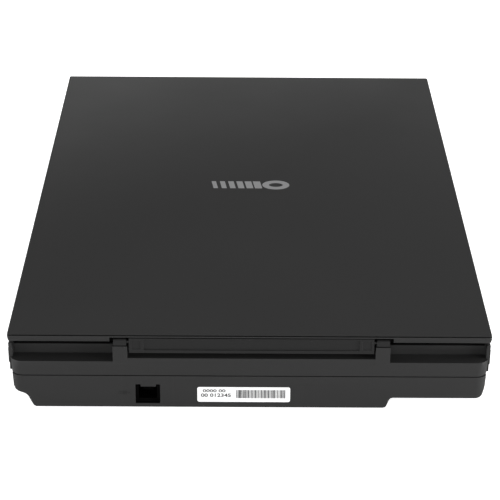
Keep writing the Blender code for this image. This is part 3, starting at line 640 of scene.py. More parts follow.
def box_piece(name, spans, body, finish, stands_for=(), round_by=0.0, segments=3):
    """A finished piece made of boxes, with its edges rounded where a width is given."""
    made = object_from(boxes(bmesh.new(), *spans), name)
    if round_by:
        round_edges(made, round_by, segments)
        smooth(made)
    return settle(made, body, finish, stands_for)


def box_mm(node):
    """A plain part's lowest and highest corners in millimetres."""
    return tuple(tuple(v / MM for v in corner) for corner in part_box(node))


# %% [markdown]
# ## Rows of small things
# Ruler marks, grip ribs, stiffening ribs and the bars of a label are all the same idea: one small block,
# repeated along a line by a rule. One Geometry Nodes tree makes them all. Its inputs are the count, the first
# place, the step, the block's size, how much every fifth and tenth block grows, and how much chance varies
# the width. Copying blocks by hand would work, too, but a tree keeps the rule in sight.

# %% The row tree
def new_rule(name, *sockets):
    """A Geometry Nodes tree that takes a geometry, the named values and a finish; returns (tree, its inputs)."""
    tree = bpy.data.node_groups.new(name, "GeometryNodeTree")
    for label, kind in (("Geometry", "Geometry"), *sockets, ("Finish", "Material")):
        tree.interface.new_socket(name=label, in_out="INPUT", socket_type="NodeSocket" + kind)
    tree.interface.new_socket(name="Geometry", in_out="OUTPUT", socket_type="NodeSocketGeometry")
    return tree, tree.nodes.new("NodeGroupInput").outputs


def send_out(tree, geometry, finish):
    """Makes the copies in the geometry real, gives it its finish and ends the tree with it."""
    real = add_node(tree, "GeometryNodeRealizeInstances", (("Geometry", geometry),)).outputs[0]
    done = add_node(tree, "GeometryNodeSetMaterial", (("Geometry", real), ("Material", finish))).outputs[0]
    tree.links.new(done, tree.nodes.new("NodeGroupOutput").inputs[0])
    return tree


def make_row_tree():
    tree, given = new_rule(
        "row_of_blocks", ("Count", "Int"), ("Start", "Vector"), ("Step", "Vector"), ("Block", "Vector"),
        ("Growth", "Vector"), ("Chance", "Float"), ("Seed", "Int"),
    )
    line = add_node(
        tree,
        "GeometryNodeMeshLine",
        (("Count", given["Count"]), ("Start Location", given["Start"]), ("Offset", given["Step"])),
        mode="OFFSET",
    )
    index = tree.nodes.new("GeometryNodeInputIndex").outputs[0]
    fifth = maths(tree, "COMPARE", maths(tree, "MODULO", index, 5.0), 0.0)
    tenth = maths(tree, "COMPARE", maths(tree, "MODULO", index, 10.0), 0.0)
    steps = maths(tree, "ADD", fifth, tenth)
    grown = add_node(
        tree, "ShaderNodeVectorMath", ((0, given["Growth"]), ("Scale", steps)), operation="SCALE"
    ).outputs[0]
    one = add_node(tree, "ShaderNodeVectorMath", ((0, grown), (1, (1.0, 1.0, 1.0)))).outputs[0]
    dice = add_node(tree, "FunctionNodeRandomValue", (("Seed", given["Seed"]),), data_type="FLOAT")
    width = maths(tree, "SUBTRACT", 1.0, maths(tree, "MULTIPLY", dice.outputs["Value"], given["Chance"]))
    shrink = add_node(tree, "ShaderNodeCombineXYZ", (("X", width), ("Y", 1.0), ("Z", 1.0))).outputs[0]
    scale = add_node(tree, "ShaderNodeVectorMath", ((0, one), (1, shrink)), operation="MULTIPLY").outputs[0]
    block = add_node(tree, "GeometryNodeMeshCube", (("Size", given["Block"]),)).outputs["Mesh"]
    placed = add_node(
        tree, "GeometryNodeInstanceOnPoints", (("Points", line.outputs[0]), ("Instance", block), ("Scale", scale))
    )
    return send_out(tree, placed.outputs[0], given["Finish"])


ROW = make_row_tree()


def grown_from(tree, name, values, points=()):
    """A plain mesh object made by a Geometry Nodes tree from named input values and points in millimetres."""
    data = bpy.data.meshes.new(name)
    data.from_pydata([tuple(v * MM for v in point) for point in points], [], [])
    carrier = bpy.data.objects.new(name, data)
    scene.collection.objects.link(carrier)
    modifier = carrier.modifiers.new("made_by_rule", "NODES")
    modifier.node_group = tree
    for item in tree.interface.items_tree:
        if item.in_out == "INPUT" and item.name in values:
            modifier[item.identifier] = values[item.name]
    return baked(carrier)


def row(name, body, finish, count, start, step, block, growth=(0, 0, 0), chance=0.0, seed=0, round_by=0.0):
    """A row of blocks along a line, all sizes in millimetres."""
    made = grown_from(ROW, name, {
        "Count": count,
        "Start": tuple(v * MM for v in start),
        "Step": tuple(v * MM for v in step),
        "Block": tuple(v * MM for v in block),
        "Growth": tuple(float(v) for v in growth),
        "Chance": chance,
        "Seed": seed,
        "Finish": FINISH[finish],
    })
    if round_by:
        round_edges(made, round_by, 2)
    print(name, "has", len(made.data.polygons) // 6, "blocks")
    return settle(made, body, finish)

# %% [markdown]
# ## The lid
# The lid is one thin plate. From behind, a dark line runs under its top skin where the skin meets the rim,
# and the rim then slopes in slightly towards its lower edge. All of this is one stack of rounded rectangles,
# skinned together, so the whole lid is a single closed mesh. Between the hinge towers the rim is cut away.

# %% Lid cover
LID_LOW, LID_HIGH = box_mm("lid_cover")
NOTCH_LOW_X, NOTCH_HIGH_X = -74.1, 72.1
SKIN_UNDER_Z = 42.4
LID_TOP = LID_HIGH[2] - 0.04


def cut_away(obj, cutter):
    """Applies a Boolean difference and removes the cutter."""
    made = obj.modifiers.new("cut", "BOOLEAN")
    made.operation = "DIFFERENCE"
    made.solver = "EXACT"
    made.object = cutter
    baked(obj)
    bpy.data.objects.remove(cutter)
    return obj


def lid_cover():
    levels = (
        (2.4, SKIN_UNDER_Z), (2.4, 40.1), (2.2, LID_LOW[2]), (0.7, LID_LOW[2]), (0.42, 40.1), (0.1, 41.6),
        (0.0, 42.4), (0.04, 42.85), (0.16, 43.02), (1.5, 43.06), (1.5, 43.6), (0.22, 43.66), (0.14, 43.74),
        (0.24, 43.88), (0.5, LID_TOP),
    )
    cover = slab(LID_LOW, LID_HIGH, 1.5, levels, "lid_cover_piece", least=0.3)
    notch = object_from(
        boxes(bmesh.new(), (NOTCH_LOW_X, NOTCH_HIGH_X, 180.0, 190.0, 39.0, SKIN_UNDER_Z)), "notch"
    )
    cut_away(cover, notch)
    smooth(cover, 40.0)
    return settle(cover, "lid", "lid_plastic", ("lid_cover",))


cover = lid_cover()
print("lid cover faces:", len(cover.data.polygons))

# %% [markdown]
# ### The inlay
# A flat silver-grey mark is let into the middle of the lid. It is a ring and a run of slanting bars, about
# 50 mm long. It stands proud by less than a tenth of a millimetre, as a foil mark does.

# %% Lid inlay
INLAY_LOW_Z, INLAY_TOP_Z = LID_TOP - 0.02, LID_HIGH[2]


def flat_ring(bm, centre, outer, inner, low, high, steps=64):
    """A closed flat ring; outer and inner are (x radius, y radius)."""
    turns = [2.0 * math.pi * i / steps for i in range(steps)]
    rings = [
        [bm.verts.new((centre[0] + rx * math.cos(t), centre[1] + ry * math.sin(t), z)) for t in turns]
        for (rx, ry), z in ((inner, low), (outer, low), (outer, high), (inner, high))
    ]
    skin_between(bm, rings + rings[:1], capped=False)


def slanting_bar(bm, x, width, low_y, high_y, lean, low, high):
    """A closed bar whose far end leans over by a few millimetres."""
    prism(bm, ((x, low_y), (x + width, low_y), (x + width + lean, high_y), (x + lean, high_y)), low, high)


def lid_inlay():
    bm = bmesh.new()
    flat_ring(bm, (-16.2, -2.4), (8.2, 6.4), (4.2, 2.8), INLAY_LOW_Z, INLAY_TOP_Z)
    for bar in range(6):
        width = 4.4 - 0.35 * bar
        slanting_bar(bm, -6.6 + bar * 5.35, width, -7.4, 2.6, -1.4, INLAY_LOW_Z, INLAY_TOP_Z)
    made = object_from(bm, "lid_inlay")
    smooth(made)
    return settle(made, "lid", "emblem_silver", ("lid_emblem",))


lid_inlay()

# %% [markdown]
# ### Hinge bar, arms and pins
# The bar's rear face is a shallow panel between two square pads. The parts that are already right only need
# softer edges. The arms' heads and the towers carry the small bright edges that catch the light.

# %% Hinge pieces
for node, width in (("hinge_bar", 0.25), ("hinge_arm_left", 0.25), ("hinge_arm_right", 0.25), ("lid_tray", 0.4)):
    finer(node, width, "bar_plastic" if node != "lid_tray" else "inner_plastic")
for node in ("hinge_pin_left", "hinge_pin_right", "lid_bumper_left", "lid_bumper_right"):
    finer(node, 0.12)

# A black strip along the back of the tray, and a black strip on the frame's rear edge, paint the shade in the gap
# between the lid and the frame.
TRAY_LOW, TRAY_HIGH = box_mm("lid_tray")
TRAY_SHADE_END = 4.2
tray_shade_faces = (TRAY_HIGH[1] + 0.02, TRAY_HIGH[1] + 0.2, TRAY_LOW[2] + 0.05, 41.6)
tray_shade_spans = ((TRAY_LOW[0] + TRAY_SHADE_END, -66.0, *tray_shade_faces), (64.0, TRAY_HIGH[0] - TRAY_SHADE_END, *tray_shade_faces))
box_piece("light_seal", tray_shade_spans, "lid", "groove_black")
frame_shade_faces = (172.6, 174.06, 33.3, 34.12)
frame_shade_spans = ((-122.4, -73.2, *frame_shade_faces), (71.2, 122.4, *frame_shade_faces))
box_piece("felt_strip", frame_shade_spans, "base", "groove_black")

# %% [markdown]
# ### Pad and backing sheet
# Under the lid, a white sheet on a thin foam pad presses the paper flat. The foam's edge is soft and a little
# uneven. A cloth simulation would add nothing to a slab that is held flat all over, so its edge is shaped by
# moving the outline in and out with a slow wave.

# %% Pad and sheet
PAD_LOW, PAD_HIGH = box_mm("foam_pad")
SHEET_LOW, SHEET_HIGH = box_mm("white_sheet")
PAD_EDGE, PAD_WAVE = 1.5, 0.25


def foam_pad():
    low, high = PAD_LOW[2], PAD_HIGH[2]
    levels = ((1.0, low), (0.3, low + 0.25), (0.05, low + 0.8), (0.2, high - 0.3), (0.8, high))
    made = slab(PAD_LOW, PAD_HIGH, 3.0, levels, "foam_pad_piece")
    edge_x, edge_y = (PAD_HIGH[0] - PAD_EDGE) * MM, (PAD_LOW[1] + PAD_EDGE) * MM
    with editing(made.data) as bm:
        sides = [e for e in bm.edges if e.calc_length() > 0.05]
        bmesh.ops.subdivide_edges(bm, edges=sides, cuts=24)
        for vertex in bm.verts:
            wave = math.sin(vertex.co.x * 310.0) * math.sin(vertex.co.y * 270.0)
            edge = 1.0 if abs(vertex.co.x) > edge_x or vertex.co.y < edge_y else 0.0
            vertex.co.x -= math.copysign(PAD_WAVE * MM * edge * (1.0 + wave), vertex.co.x)
    smooth(made)
    settle(made, "lid", "pad_foam", ("foam_pad",))
    return made


foam = foam_pad()
backing = slab(SHEET_LOW, SHEET_HIGH, 2.5, ((0.0, SHEET_LOW[2]), (0.0, SHEET_HIGH[2])), "white_sheet_piece")
round_edges(backing, 0.12, 2)
smooth(backing)
settle(backing, "lid", "white_film", ("white_sheet",))
print("foam pad faces:", len(foam.data.polygons))

# %% [markdown]
# ## The housings
# The two housings meet at a thin dark seam. A black band set just inside the gap paints the shade in it.
# The housings keep their working shape, with their edges rounded.

# %% Housings and seam
PANEL_LOW, PANEL_HIGH = box_mm("port_panel")
PANEL_GAP = 0.3


def at_seam(point):
    """True for the edges of the seam, which stay sharp so that the gap stays dark."""
    return 18.9 < point.z < 20.3


def in_panel_joint(point):
    """True for the edges where the rear wall and the port panel meet, which don't show on the real wall."""
    beside = min(abs(point.x - PANEL_LOW[0] + PANEL_GAP), abs(point.x - PANEL_HIGH[0] - PANEL_GAP)) < 0.05
    below = abs(point.z - PANEL_LOW[2] + PANEL_GAP) < 0.05
    across = PANEL_LOW[0] - 0.4 < point.x < PANEL_HIGH[0] + 0.4
    return at_seam(point) or (point.y > PANEL_LOW[1] - 0.5 and (beside or (below and across)))


lower = finer("lower_housing", 0.35, keep=in_panel_joint)
upper = finer("upper_housing", 0.35, keep=at_seam)
HOUSE_HIGH = box_mm("lower_housing")[1]
FRAME_LOW, FRAME_HIGH = box_mm("upper_housing")
SEAM_LOW, SEAM_HIGH = HOUSE_HIGH[2] - 1.4, FRAME_LOW[2] + 1.4


def seam_lip():
    """A thin black band just inside both housings, across the seam, which paints the shade in the gap."""
    thick = 0.5
    levels = ((0.0, SEAM_LOW), (0.0, SEAM_HIGH), (thick, SEAM_HIGH), (thick, SEAM_LOW))
    bm = bmesh.new()
    rings = rounded_levels(bm, (-121.0, -179.9), (121.0, 180.6), 4.5, levels)
    skin_between(bm, rings + rings[:1], capped=False)
    made = object_from(bm, "seam_lip")
    smooth(made)
    return settle(made, "base", "groove_black")


seam_lip()

# The outer shell on each side stands a little higher than the working model's, up to just under the lid.
for word, side in (("left", 1.0), ("right", -1.0)):
    x0, x1 = sorted((side * 123.0, side * (FRAME_HIGH[0] - 0.04)))
    span = (x0, x1, -178.0, 178.3, 33.2, 35.7)
    box_piece(f"shell_cap_{word}", (span,), "base", "housing_plastic", round_by=0.45)
print("housing faces:", len(lower.data.polygons), len(upper.data.polygons))

# %% [markdown]
# ### Side strips
# A slim ribbed strip runs along each side, let into the housing, to give fingers a grip when the scanner is
# lifted. The strip is a plain bar; the ribs are a row made by the rule.

# %% Side strips
RIB_PITCH = 2.6
for word in ("left", "right"):
    strip_low, strip_high = box_mm(f"side_rail_{word}")
    side = 1.0 if strip_low[0] > 0.0 else -1.0
    inner_x, outer_x = sorted((abs(strip_low[0]), abs(strip_high[0])))
    face_x = outer_x - 0.35
    span = (*sorted((side * inner_x, side * face_x)), strip_low[1], strip_high[1], strip_low[2], strip_high[2])
    box_piece(
        f"side_strip_{word}", (span,), "base", "grip_plastic", (f"side_rail_{word}",), 0.25
    )
    count = int((strip_high[1] - strip_low[1] - 6.0) / RIB_PITCH)
    middle_z = (strip_low[2] + strip_high[2]) / 2.0
    row(
        f"grip_ribs_{word}", "base", "grip_plastic", count,
        (side * (face_x + 0.05), strip_low[1] + 3.5, middle_z), (0.0, RIB_PITCH, 0.0),
        (0.55, 1.0, strip_high[2] - strip_low[2] - 1.0), round_by=0.18,
    )

# %% [markdown]
# ### The cable port
# The square port is a deep hole. The tongue is black plastic; it, the socket and a lining are made near-black and
# almost unreflective, which paints the shade inside the hole. The tongue carries four gold contacts. Beside the port
# is a small pictogram of a plug, moulded a tenth of a millimetre proud in the darker plastic of the side strips.

# %% Port
PORT_X, PORT_Z = 52.9, 8.4
PORT_RIGHT, PORT_LEFT = 46.5, 59.3
PORT_FLOOR, PORT_HANGING, PORT_TOP = 2.9, 12.9, 14.2
HANGING_RIGHT, HANGING_LEFT = 48.6, 56.6
REAR_Y = HOUSE_HIGH[1]


def port_wall():
    """The rear wall round the port. It reaches the housing's own wall, so that no joint shows."""
    span = (
        PANEL_LOW[0] - PANEL_GAP, PANEL_HIGH[0] + PANEL_GAP, PANEL_LOW[1], PANEL_HIGH[1],
        PANEL_LOW[2] - PANEL_GAP, PANEL_HIGH[2],
    )
    made = object_from(boxes(bmesh.new(), span), "port_wall")
    outline = (
        (PORT_RIGHT, PORT_FLOOR), (PORT_LEFT, PORT_FLOOR), (PORT_LEFT, PORT_TOP), (HANGING_LEFT, PORT_TOP),
        (HANGING_LEFT, PORT_HANGING), (HANGING_RIGHT, PORT_HANGING), (HANGING_RIGHT, PORT_TOP),
        (PORT_RIGHT, PORT_TOP),
    )
    bm = bmesh.new()
    skin_between(bm, [[bm.verts.new((x, y, z)) for x, z in outline] for y in (180.0, 190.0)])
    cut_away(made, object_from(bm, "port_hole"))
    smooth(made)
    round_edges(made, 0.35, keep=in_panel_joint)
    settle(made, "base", "housing_plastic", ("port_panel",))


def port_sleeve():
    """A thin black lining just inside the opening, which paints the shade on the hole's inner walls, so that the cut
    edge of the wall doesn't show as a frame.
    """
    right, left, low, hanging = PORT_RIGHT + 0.02, PORT_LEFT - 0.02, PORT_FLOOR + 0.02, PORT_HANGING - 0.02
    thick = 0.08
    deep = (PANEL_LOW[1] + 0.1, REAR_Y - 0.3)
    spans = (
        (right, left, *deep, low, low + thick), (right, right + thick, *deep, low + thick, hanging),
        (left - thick, left, *deep, low + thick, hanging),
    )
    box_piece("port_sleeve", spans, "base", "groove_black")


def port_inside():
    """The tongue and its four contacts."""
    span = (PORT_X - 2.8, PORT_X + 2.8, 170.2, 176.0, PORT_Z - 1.6, PORT_Z + 1.6)
    box_piece("port_tongue", (span,), "base", "port_black", round_by=0.3, segments=2)
    spots = [(PORT_X + step, PORT_Z + side) for side in (-1.65, 1.65) for step in (-1.2, 1.2)]
    spans = [(x - 0.5, x + 0.5, 171.0, 175.4, z - 0.08, z + 0.08) for x, z in spots]
    box_piece("port_contacts", spans, "base", "gold_contact")


def port_pictogram():
    """A plug seen from the side: its body, two prongs and a lead."""
    y0, y1 = REAR_Y - 0.02, REAR_Y + 0.1
    marks = ((63.6, 66.1, 8.3, 10.5), (66.1, 68.0, 8.6, 9.1), (66.1, 68.0, 9.7, 10.2), (61.9, 63.6, 9.1, 9.7))
    spans = [(x0, x1, y0, y1, z0, z1) for x0, x1, z0, z1 in marks]
    box_piece("port_pictogram", spans, "base", "grip_plastic")


port_wall()
port_sleeve()
# The socket's shell is near-black: painted shade deep in the hole.
finer("usb_socket", 0.15, "port_black")
port_inside()
port_pictogram()

# %% [markdown]
# ### The label
# A white sticker with rounded corners carries plain figures and a row of bars. The figures are a text curve
# that is made a mesh before it is put in place. The bars follow the row rule, with chance in their widths.

# %% Label
LABEL_LOW, LABEL_HIGH = box_mm("serial_label")
LABEL_FACE_Y = LABEL_HIGH[1]


INK = 0.02
UPRIGHT = Matrix(((1, 0, 0, 0), (0, 0, 1, 0), (0, 1, 0, 0), (0, 0, 0, 1)))


def label_sticker():
    """A plate with rounded corners, drawn lying down and then stood on edge."""
    bm = bmesh.new()
    low, high = (LABEL_LOW[0], LABEL_LOW[2]), (LABEL_HIGH[0], LABEL_HIGH[2])
    skin_between(bm, [round_loop(bm, low, high, 1.1, y) for y in (LABEL_LOW[1], LABEL_FACE_Y)])
    bm.transform(UPRIGHT)
    settle(object_from(bm, "label_sticker"), "base", "label_paper", ("serial_label",))


def figures(name, words, left_x, base_z, height, width):
    """Figures on the rear face, read from behind, with their left end at left_x."""
    curve = bpy.data.curves.new(name, "FONT")
    curve.body = words
    curve.extrude = INK
    curve.offset = 0.022
    text = bpy.data.objects.new(name, curve)
    scene.collection.objects.link(text)
    made = baked(text)
    made.name = name
    xs = [v.co.x for v in made.data.vertices]
    ys = [v.co.y for v in made.data.vertices]
    wide, tall = max(xs) - min(xs), max(ys) - min(ys)
    for v in made.data.vertices:
        x = left_x - (v.co.x - min(xs)) / wide * width
        z = base_z + (v.co.y - min(ys)) / tall * height
        v.co = (x * MM, (LABEL_FACE_Y + INK + v.co.z) * MM, z * MM)
    with editing(made.data) as bm:
        bmesh.ops.remove_doubles(bm, verts=bm.verts, dist=0.000001)
        bmesh.ops.recalc_face_normals(bm, faces=bm.faces)
    return settle(made, "base", "label_ink")


label_sticker()
figures("label_figures_top", "0000 00", 24.2, 9.9, 1.7, 11.8)
figures("label_figures_low", "00 012345", 25.2, 7.0, 2.1, 15.6)
row(
    "label_bars", "base", "label_ink", 34, (6.6, LABEL_FACE_Y + INK, 8.8), (-0.76, 0.0, 0.0),
    (0.66, 2.0 * INK, 4.9), chance=0.6, seed=7,
)

# %% [markdown]
# ## The glass bed
# The glass lies in its frame with its top just under the rim. Along two sides the frame carries printed
# ruler marks, with longer ones at every fifth and tenth, and a small arrow in the corner where paper goes.

# %% Glass and ruler marks
GLASS_LOW, GLASS_HIGH = box_mm("platen_glass")
finer("platen_glass", 0.2)
MARK_TOP_Z = 34.0
MARK_THICK = 0.04
row(
    "ruler_marks_side", "base", "print_white", 60,
    (GLASS_HIGH[0] + 2.2, GLASS_LOW[1] + 6.0, MARK_TOP_Z), (0.0, 5.0, 0.0), (1.2, 0.25, MARK_THICK),
    growth=(0.45, 0.0, 0.0),
)
row(
    "ruler_marks_front", "base", "print_white", 44,
    (-GLASS_HIGH[0] + 5.0, GLASS_LOW[1] - 2.4, MARK_TOP_Z), (5.0, 0.0, 0.0), (0.25, 1.2, MARK_THICK),
    growth=(0.0, 0.45, 0.0),
)


def corner_arrow():
    """An arrow head that points at the corner where paper is laid."""
    x, y = GLASS_HIGH[0] + 1.4, GLASS_LOW[1] - 1.4
    outline = ((x, y), (x + 3.4, y - 0.6), (x + 0.6, y - 3.4))
    bm = bmesh.new()
    prism(bm, outline, MARK_TOP_Z - MARK_THICK / 2.0, MARK_TOP_Z + MARK_THICK / 2.0)
    return settle(object_from(bm, "corner_arrow"), "base", "print_white")


corner_arrow()

# %% [markdown]
# ## Under the glass
# With the lid up, the scanning unit shows through the glass: a steel shaft, a nylon rack, a flat cable and
# the long sensor bar on its carriage. The floor below is stiffened by low ribs, made by the row rule.

# %% Floor ribs, shaft and rack
for name, x, z, length in (("floor_ribs", 60.0, 3.1, 42.0), ("shelf_ribs", -96.0, 9.8, 34.0)):
    row(
        name, "base", "housing_plastic", 17, (x, -150.0, z), (0.0, 18.0, 0.0),
        (length, 1.2, 0.8), round_by=0.2,
    )
for node, width in (("guide_shaft", 0.4), ("drive_rack", 0.12), ("carriage_frame", 0.3), ("sensor_housing", 0.25)):
    finer(node, width, segments=2)
for node in (
    "drive_gear", "motor_gear", "bushing_front", "bushing_rear", "drive_motor", "glass_glide_left",
    "glass_glide_right", "lens_array", "light_guide", "sensor_board",
):
    finer(node, 0.1, segments=2)

# %% [markdown]
# ### Springs
# Two small coil springs press the sensor up to the glass. A second Geometry Nodes tree turns a spiral into a
# wire: its inputs are the radius, the height, the number of turns and the wire's thickness.

# %% Springs
def make_coil_tree():
    tree, given = new_rule(
        "coil_spring", ("Radius", "Float"), ("Height", "Float"), ("Turns", "Float"), ("Wire", "Float"),
        ("Place", "Vector"),
    )
    spiral = add_node(
        tree,
        "GeometryNodeCurveSpiral",
        (
            ("Resolution", 20), ("Rotations", given["Turns"]), ("Start Radius", given["Radius"]),
            ("End Radius", given["Radius"]), ("Height", given["Height"]),
        ),
    )
    section = add_node(
        tree, "GeometryNodeCurvePrimitiveCircle", (("Resolution", 10), ("Radius", given["Wire"])), mode="RADIUS"
    )
    wire = add_node(
        tree,
        "GeometryNodeCurveToMesh",
        (("Curve", spiral.outputs[0]), ("Profile Curve", section.outputs[0]), ("Fill Caps", True)),
    )
    moved = add_node(
        tree, "GeometryNodeTransform", (("Geometry", wire.outputs[0]), ("Translation", given["Place"]))
    )
    return send_out(tree, moved.outputs[0], given["Finish"])


COIL = make_coil_tree()
WIRE_RADIUS = 0.18
for word in ("left", "right"):
    low, high = box_mm(f"sensor_spring_{word}")
    spring = grown_from(COIL, f"coil_spring_{word}", {
        "Radius": ((high[0] - low[0]) / 2.0 - 0.4) * MM,
        "Height": (high[2] - low[2] - 2.0 * WIRE_RADIUS) * MM,
        "Turns": 3.0,
        "Wire": WIRE_RADIUS * MM,
        "Place": ((low[0] + high[0]) / 2.0 * MM, (low[1] + high[1]) / 2.0 * MM, (low[2] + WIRE_RADIUS) * MM),
        "Finish": FINISH["bright_steel"],
    })
    smooth(spring, 60.0)
    settle(spring, "carriage", "bright_steel", (f"sensor_spring_{word}",))
print("spring faces:", len(spring.data.polygons))

# %% [markdown]
# ### The flat cable
# A flat cable brings power and data to the carriage. It bends down from its connector, lies along the floor,
# and rolls up to the carriage in a loop. The loop rides with the carriage. The part on the floor gathers in
# low waves towards the connector as the carriage comes back; here it is drawn with even low waves all along.

# %% Flat cable
RIBBON_LOW, RIBBON_HIGH = box_mm("ribbon_cable")
RIBBON_THICK = 0.35
RIBBON_TURN, RIBBON_LOOP = 3.6, 6.4
FLOOR_Z = RIBBON_LOW[2] + RIBBON_THICK / 2.0
LOOP_Y = RIBBON_LOW[1] + RIBBON_THICK / 2.0 + RIBBON_LOOP
BEND_Y = RIBBON_HIGH[1] - 3.6
TRAVEL = 300.0


def arc(centre, radius, start, stop, steps):
    """Points round part of a circle in the (y, z) plane, angles in degrees."""
    turns = [math.radians(start + (stop - start) * i / steps) for i in range(steps + 1)]
    return [(centre[0] + radius * math.cos(t), centre[1] + radius * math.sin(t)) for t in turns]


def flat_strip(path, name):
    """A closed strip of the cable's width and thickness along a path of (y, z) points."""
    bm = bmesh.new()
    rings = []
    for index, (y, z) in enumerate(path):
        ahead = Vector(path[min(index + 1, len(path) - 1)]) - Vector(path[max(index - 1, 0)])
        out = Vector((-ahead.y, ahead.x)).normalized() * RIBBON_THICK / 2.0
        corners = ((RIBBON_LOW[0], 1), (RIBBON_HIGH[0], 1), (RIBBON_HIGH[0], -1), (RIBBON_LOW[0], -1))
        rings.append([bm.verts.new((x, y + out.x * way, z + out.y * way)) for x, way in corners])
    skin_between(bm, rings)
    made = object_from(bm, name)
    smooth(made, 50.0)
    return made


def flat_cable():
    top_z = FLOOR_Z + 9.4
    down = [(RIBBON_HIGH[1], top_z)] + arc((BEND_Y, top_z - RIBBON_TURN), RIBBON_TURN, 90, 180, 10)
    foot_y = BEND_Y - 2.0 * RIBBON_TURN
    down += arc((foot_y, FLOOR_Z + RIBBON_TURN), RIBBON_TURN, 0, -90, 10)
    settle(flat_strip(down, "ribbon_cable_bend"), "base", "ribbon_film", ("ribbon_cable",))
    count = 240
    along = [foot_y + (LOOP_Y - foot_y) * i / count for i in range(count + 1)]
    waves = [0.22 * (1.0 - math.cos(2.0 * math.pi * i * 15 / count)) for i in range(count + 1)]
    floor_part = flat_strip([(y, FLOOR_Z + w) for y, w in zip(along, waves)], "ribbon_cable_floor")
    settle(floor_part, "base", "ribbon_film")
    kept = (foot_y - LOOP_Y - TRAVEL) / (foot_y - LOOP_Y)
    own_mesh(floor_part)
    loop = arc((LOOP_Y, FLOOR_Z + RIBBON_LOOP), RIBBON_LOOP, 270, 90, 24)
    loop.append((RIBBON_LOW[1] + 12.4, loop[-1][1]))
    settle(flat_strip(loop, "ribbon_cable_loop"), "carriage", "ribbon_film")
    return kept


print("share of the floor part's length left at the far end:", round(flat_cable(), 3))

# %% [markdown]
# ## Screws, feet and small electronics
# What comes several times on a real product comes several times here by one rule: a Geometry Nodes tree that
# puts one finished piece on each point it is given. Chance may turn it by quarter turns and vary its size,
# with a fixed seed, which is how the small parts on a circuit board differ.

# %% The placing tree
def make_placing_tree():
    tree, given = new_rule(
        "piece_on_each_point", ("Piece", "Object"), ("Turn", "Float"), ("Size Chance", "Float"), ("Seed", "Int")
    )
    piece = add_node(tree, "GeometryNodeObjectInfo", (("Object", given["Piece"]),)).outputs["Geometry"]
    quarter = add_node(
        tree, "FunctionNodeRandomValue", ((4, 0), (5, 3), ("Seed", given["Seed"])), data_type="INT"
    ).outputs[2]
    turned = maths(tree, "MULTIPLY", maths(tree, "MULTIPLY", quarter, math.pi / 2.0), given["Turn"])
    spin = add_node(tree, "ShaderNodeCombineXYZ", (("Z", turned),)).outputs[0]
    dice = add_node(tree, "FunctionNodeRandomValue", (("Seed", given["Seed"]),), data_type="FLOAT")
    size = maths(tree, "SUBTRACT", 1.0, maths(tree, "MULTIPLY", dice.outputs[1], given["Size Chance"]))
    placed = add_node(
        tree,
        "GeometryNodeInstanceOnPoints",
        (("Points", given["Geometry"]), ("Instance", piece), ("Rotation", spin), ("Scale", size)),
    )
    return send_out(tree, placed.outputs[0], given["Finish"])


PLACING = make_placing_tree()


def placed_on(points, piece, name, finish, turn=0.0, size_chance=0.0, seed=0):
    """One mesh with a copy of the piece on each (x, y, z) point, given in millimetres; the piece is used up."""
    values = {"Piece": piece, "Turn": turn, "Size Chance": size_chance, "Seed": seed, "Finish": FINISH[finish]}
    made = grown_from(PLACING, name, values, points)
    bpy.data.objects.remove(piece)
    print(name, "has", len(points), "copies,", len(made.data.polygons), "faces")
    return made


def turned_piece(profile, name, steps=32):
    """A closed solid turned from (radius, z) points about the Z axis."""
    bm = bmesh.new()
    turns = [2.0 * math.pi * i / steps for i in range(steps)]
    skin_between(bm, [[bm.verts.new((r * math.cos(t), r * math.sin(t), z)) for t in turns] for r, z in profile])
    made = object_from(bm, name)
    smooth(made, 40.0)
    return made


# %% [markdown]
# ### Screws and feet
# Four screws come up from below and hold the housings together. Each has a low domed head with a cross
# recess. Each foot is a soft rubber disc with a shallow dish in its sole, which gives it a sharper grip.

# %% Screws and feet
CORNERS = ("front_left", "front_right", "rear_left", "rear_right")


def one_per_corner(stem, piece, name, finish):
    """A copy of the piece in place of each of the four plain parts whose names start with the stem."""
    nodes = [f"{stem}_{corner}" for corner in CORNERS]
    points = [((a[0] + b[0]) / 2.0, (a[1] + b[1]) / 2.0, 0.0) for a, b in map(box_mm, nodes)]
    made = placed_on(points, piece, name, finish)
    smooth(made, 35.0)
    settle(made, "base", finish, nodes)


def screws():
    low, high = box_mm("housing_screw_front_left")
    head_low, head_high = low[2], low[2] + 2.1
    radius = (high[0] - low[0]) / 2.0
    profile = [
        (0.6, head_low + 0.02), (1.6, head_low + 0.12), (radius - 0.3, head_low + 0.5), (radius, head_low + 0.95),
        (radius, head_high - 0.15), (radius - 0.15, head_high), (1.5, head_high),
    ]
    pitch, crest = 1.0, 1.5
    z = head_high + 0.4
    while z < high[2] - pitch:
        profile += [(crest - 0.35, z), (crest, z + pitch * 0.4), (crest, z + pitch * 0.5), (crest - 0.35, z + pitch)]
        z += pitch + 0.05
    profile += [(0.3, high[2])]
    screw = turned_piece(profile, "screw_pattern", 24)
    for x, y in ((1.5, 0.28), (0.28, 1.5)):
        slit = (-x, x, -y, y, low[2] - 1.0, low[2] + 1.1)
        cut_away(screw, object_from(boxes(bmesh.new(), slit), "screw_recess"))
    one_per_corner("housing_screw", screw, "housing_screws", "bright_steel")


def feet():
    low, high = box_mm("foot_front_left")
    radius = (high[0] - low[0]) / 2.0
    profile = [
        (0.4, 0.45), (radius - 2.4, 0.45), (radius - 2.0, 0.3), (radius - 1.7, 0.02), (radius - 1.1, 0.0),
        (radius - 0.6, 0.1), (radius - 0.1, 0.5), (radius, high[2] - 0.1), (radius - 0.1, high[2]), (0.4, high[2]),
    ]
    one_per_corner("foot", turned_piece(profile, "foot_pattern", 48), "rubber_feet", "foot_rubber")


screws()
feet()

# %% [markdown]
# ### Circuit boards
# The main board lies over the raised shelf behind the glass. It carries one large chip with its row of legs,
# and a scatter of small parts. The legs are a row; the small parts are one piece placed by chance.

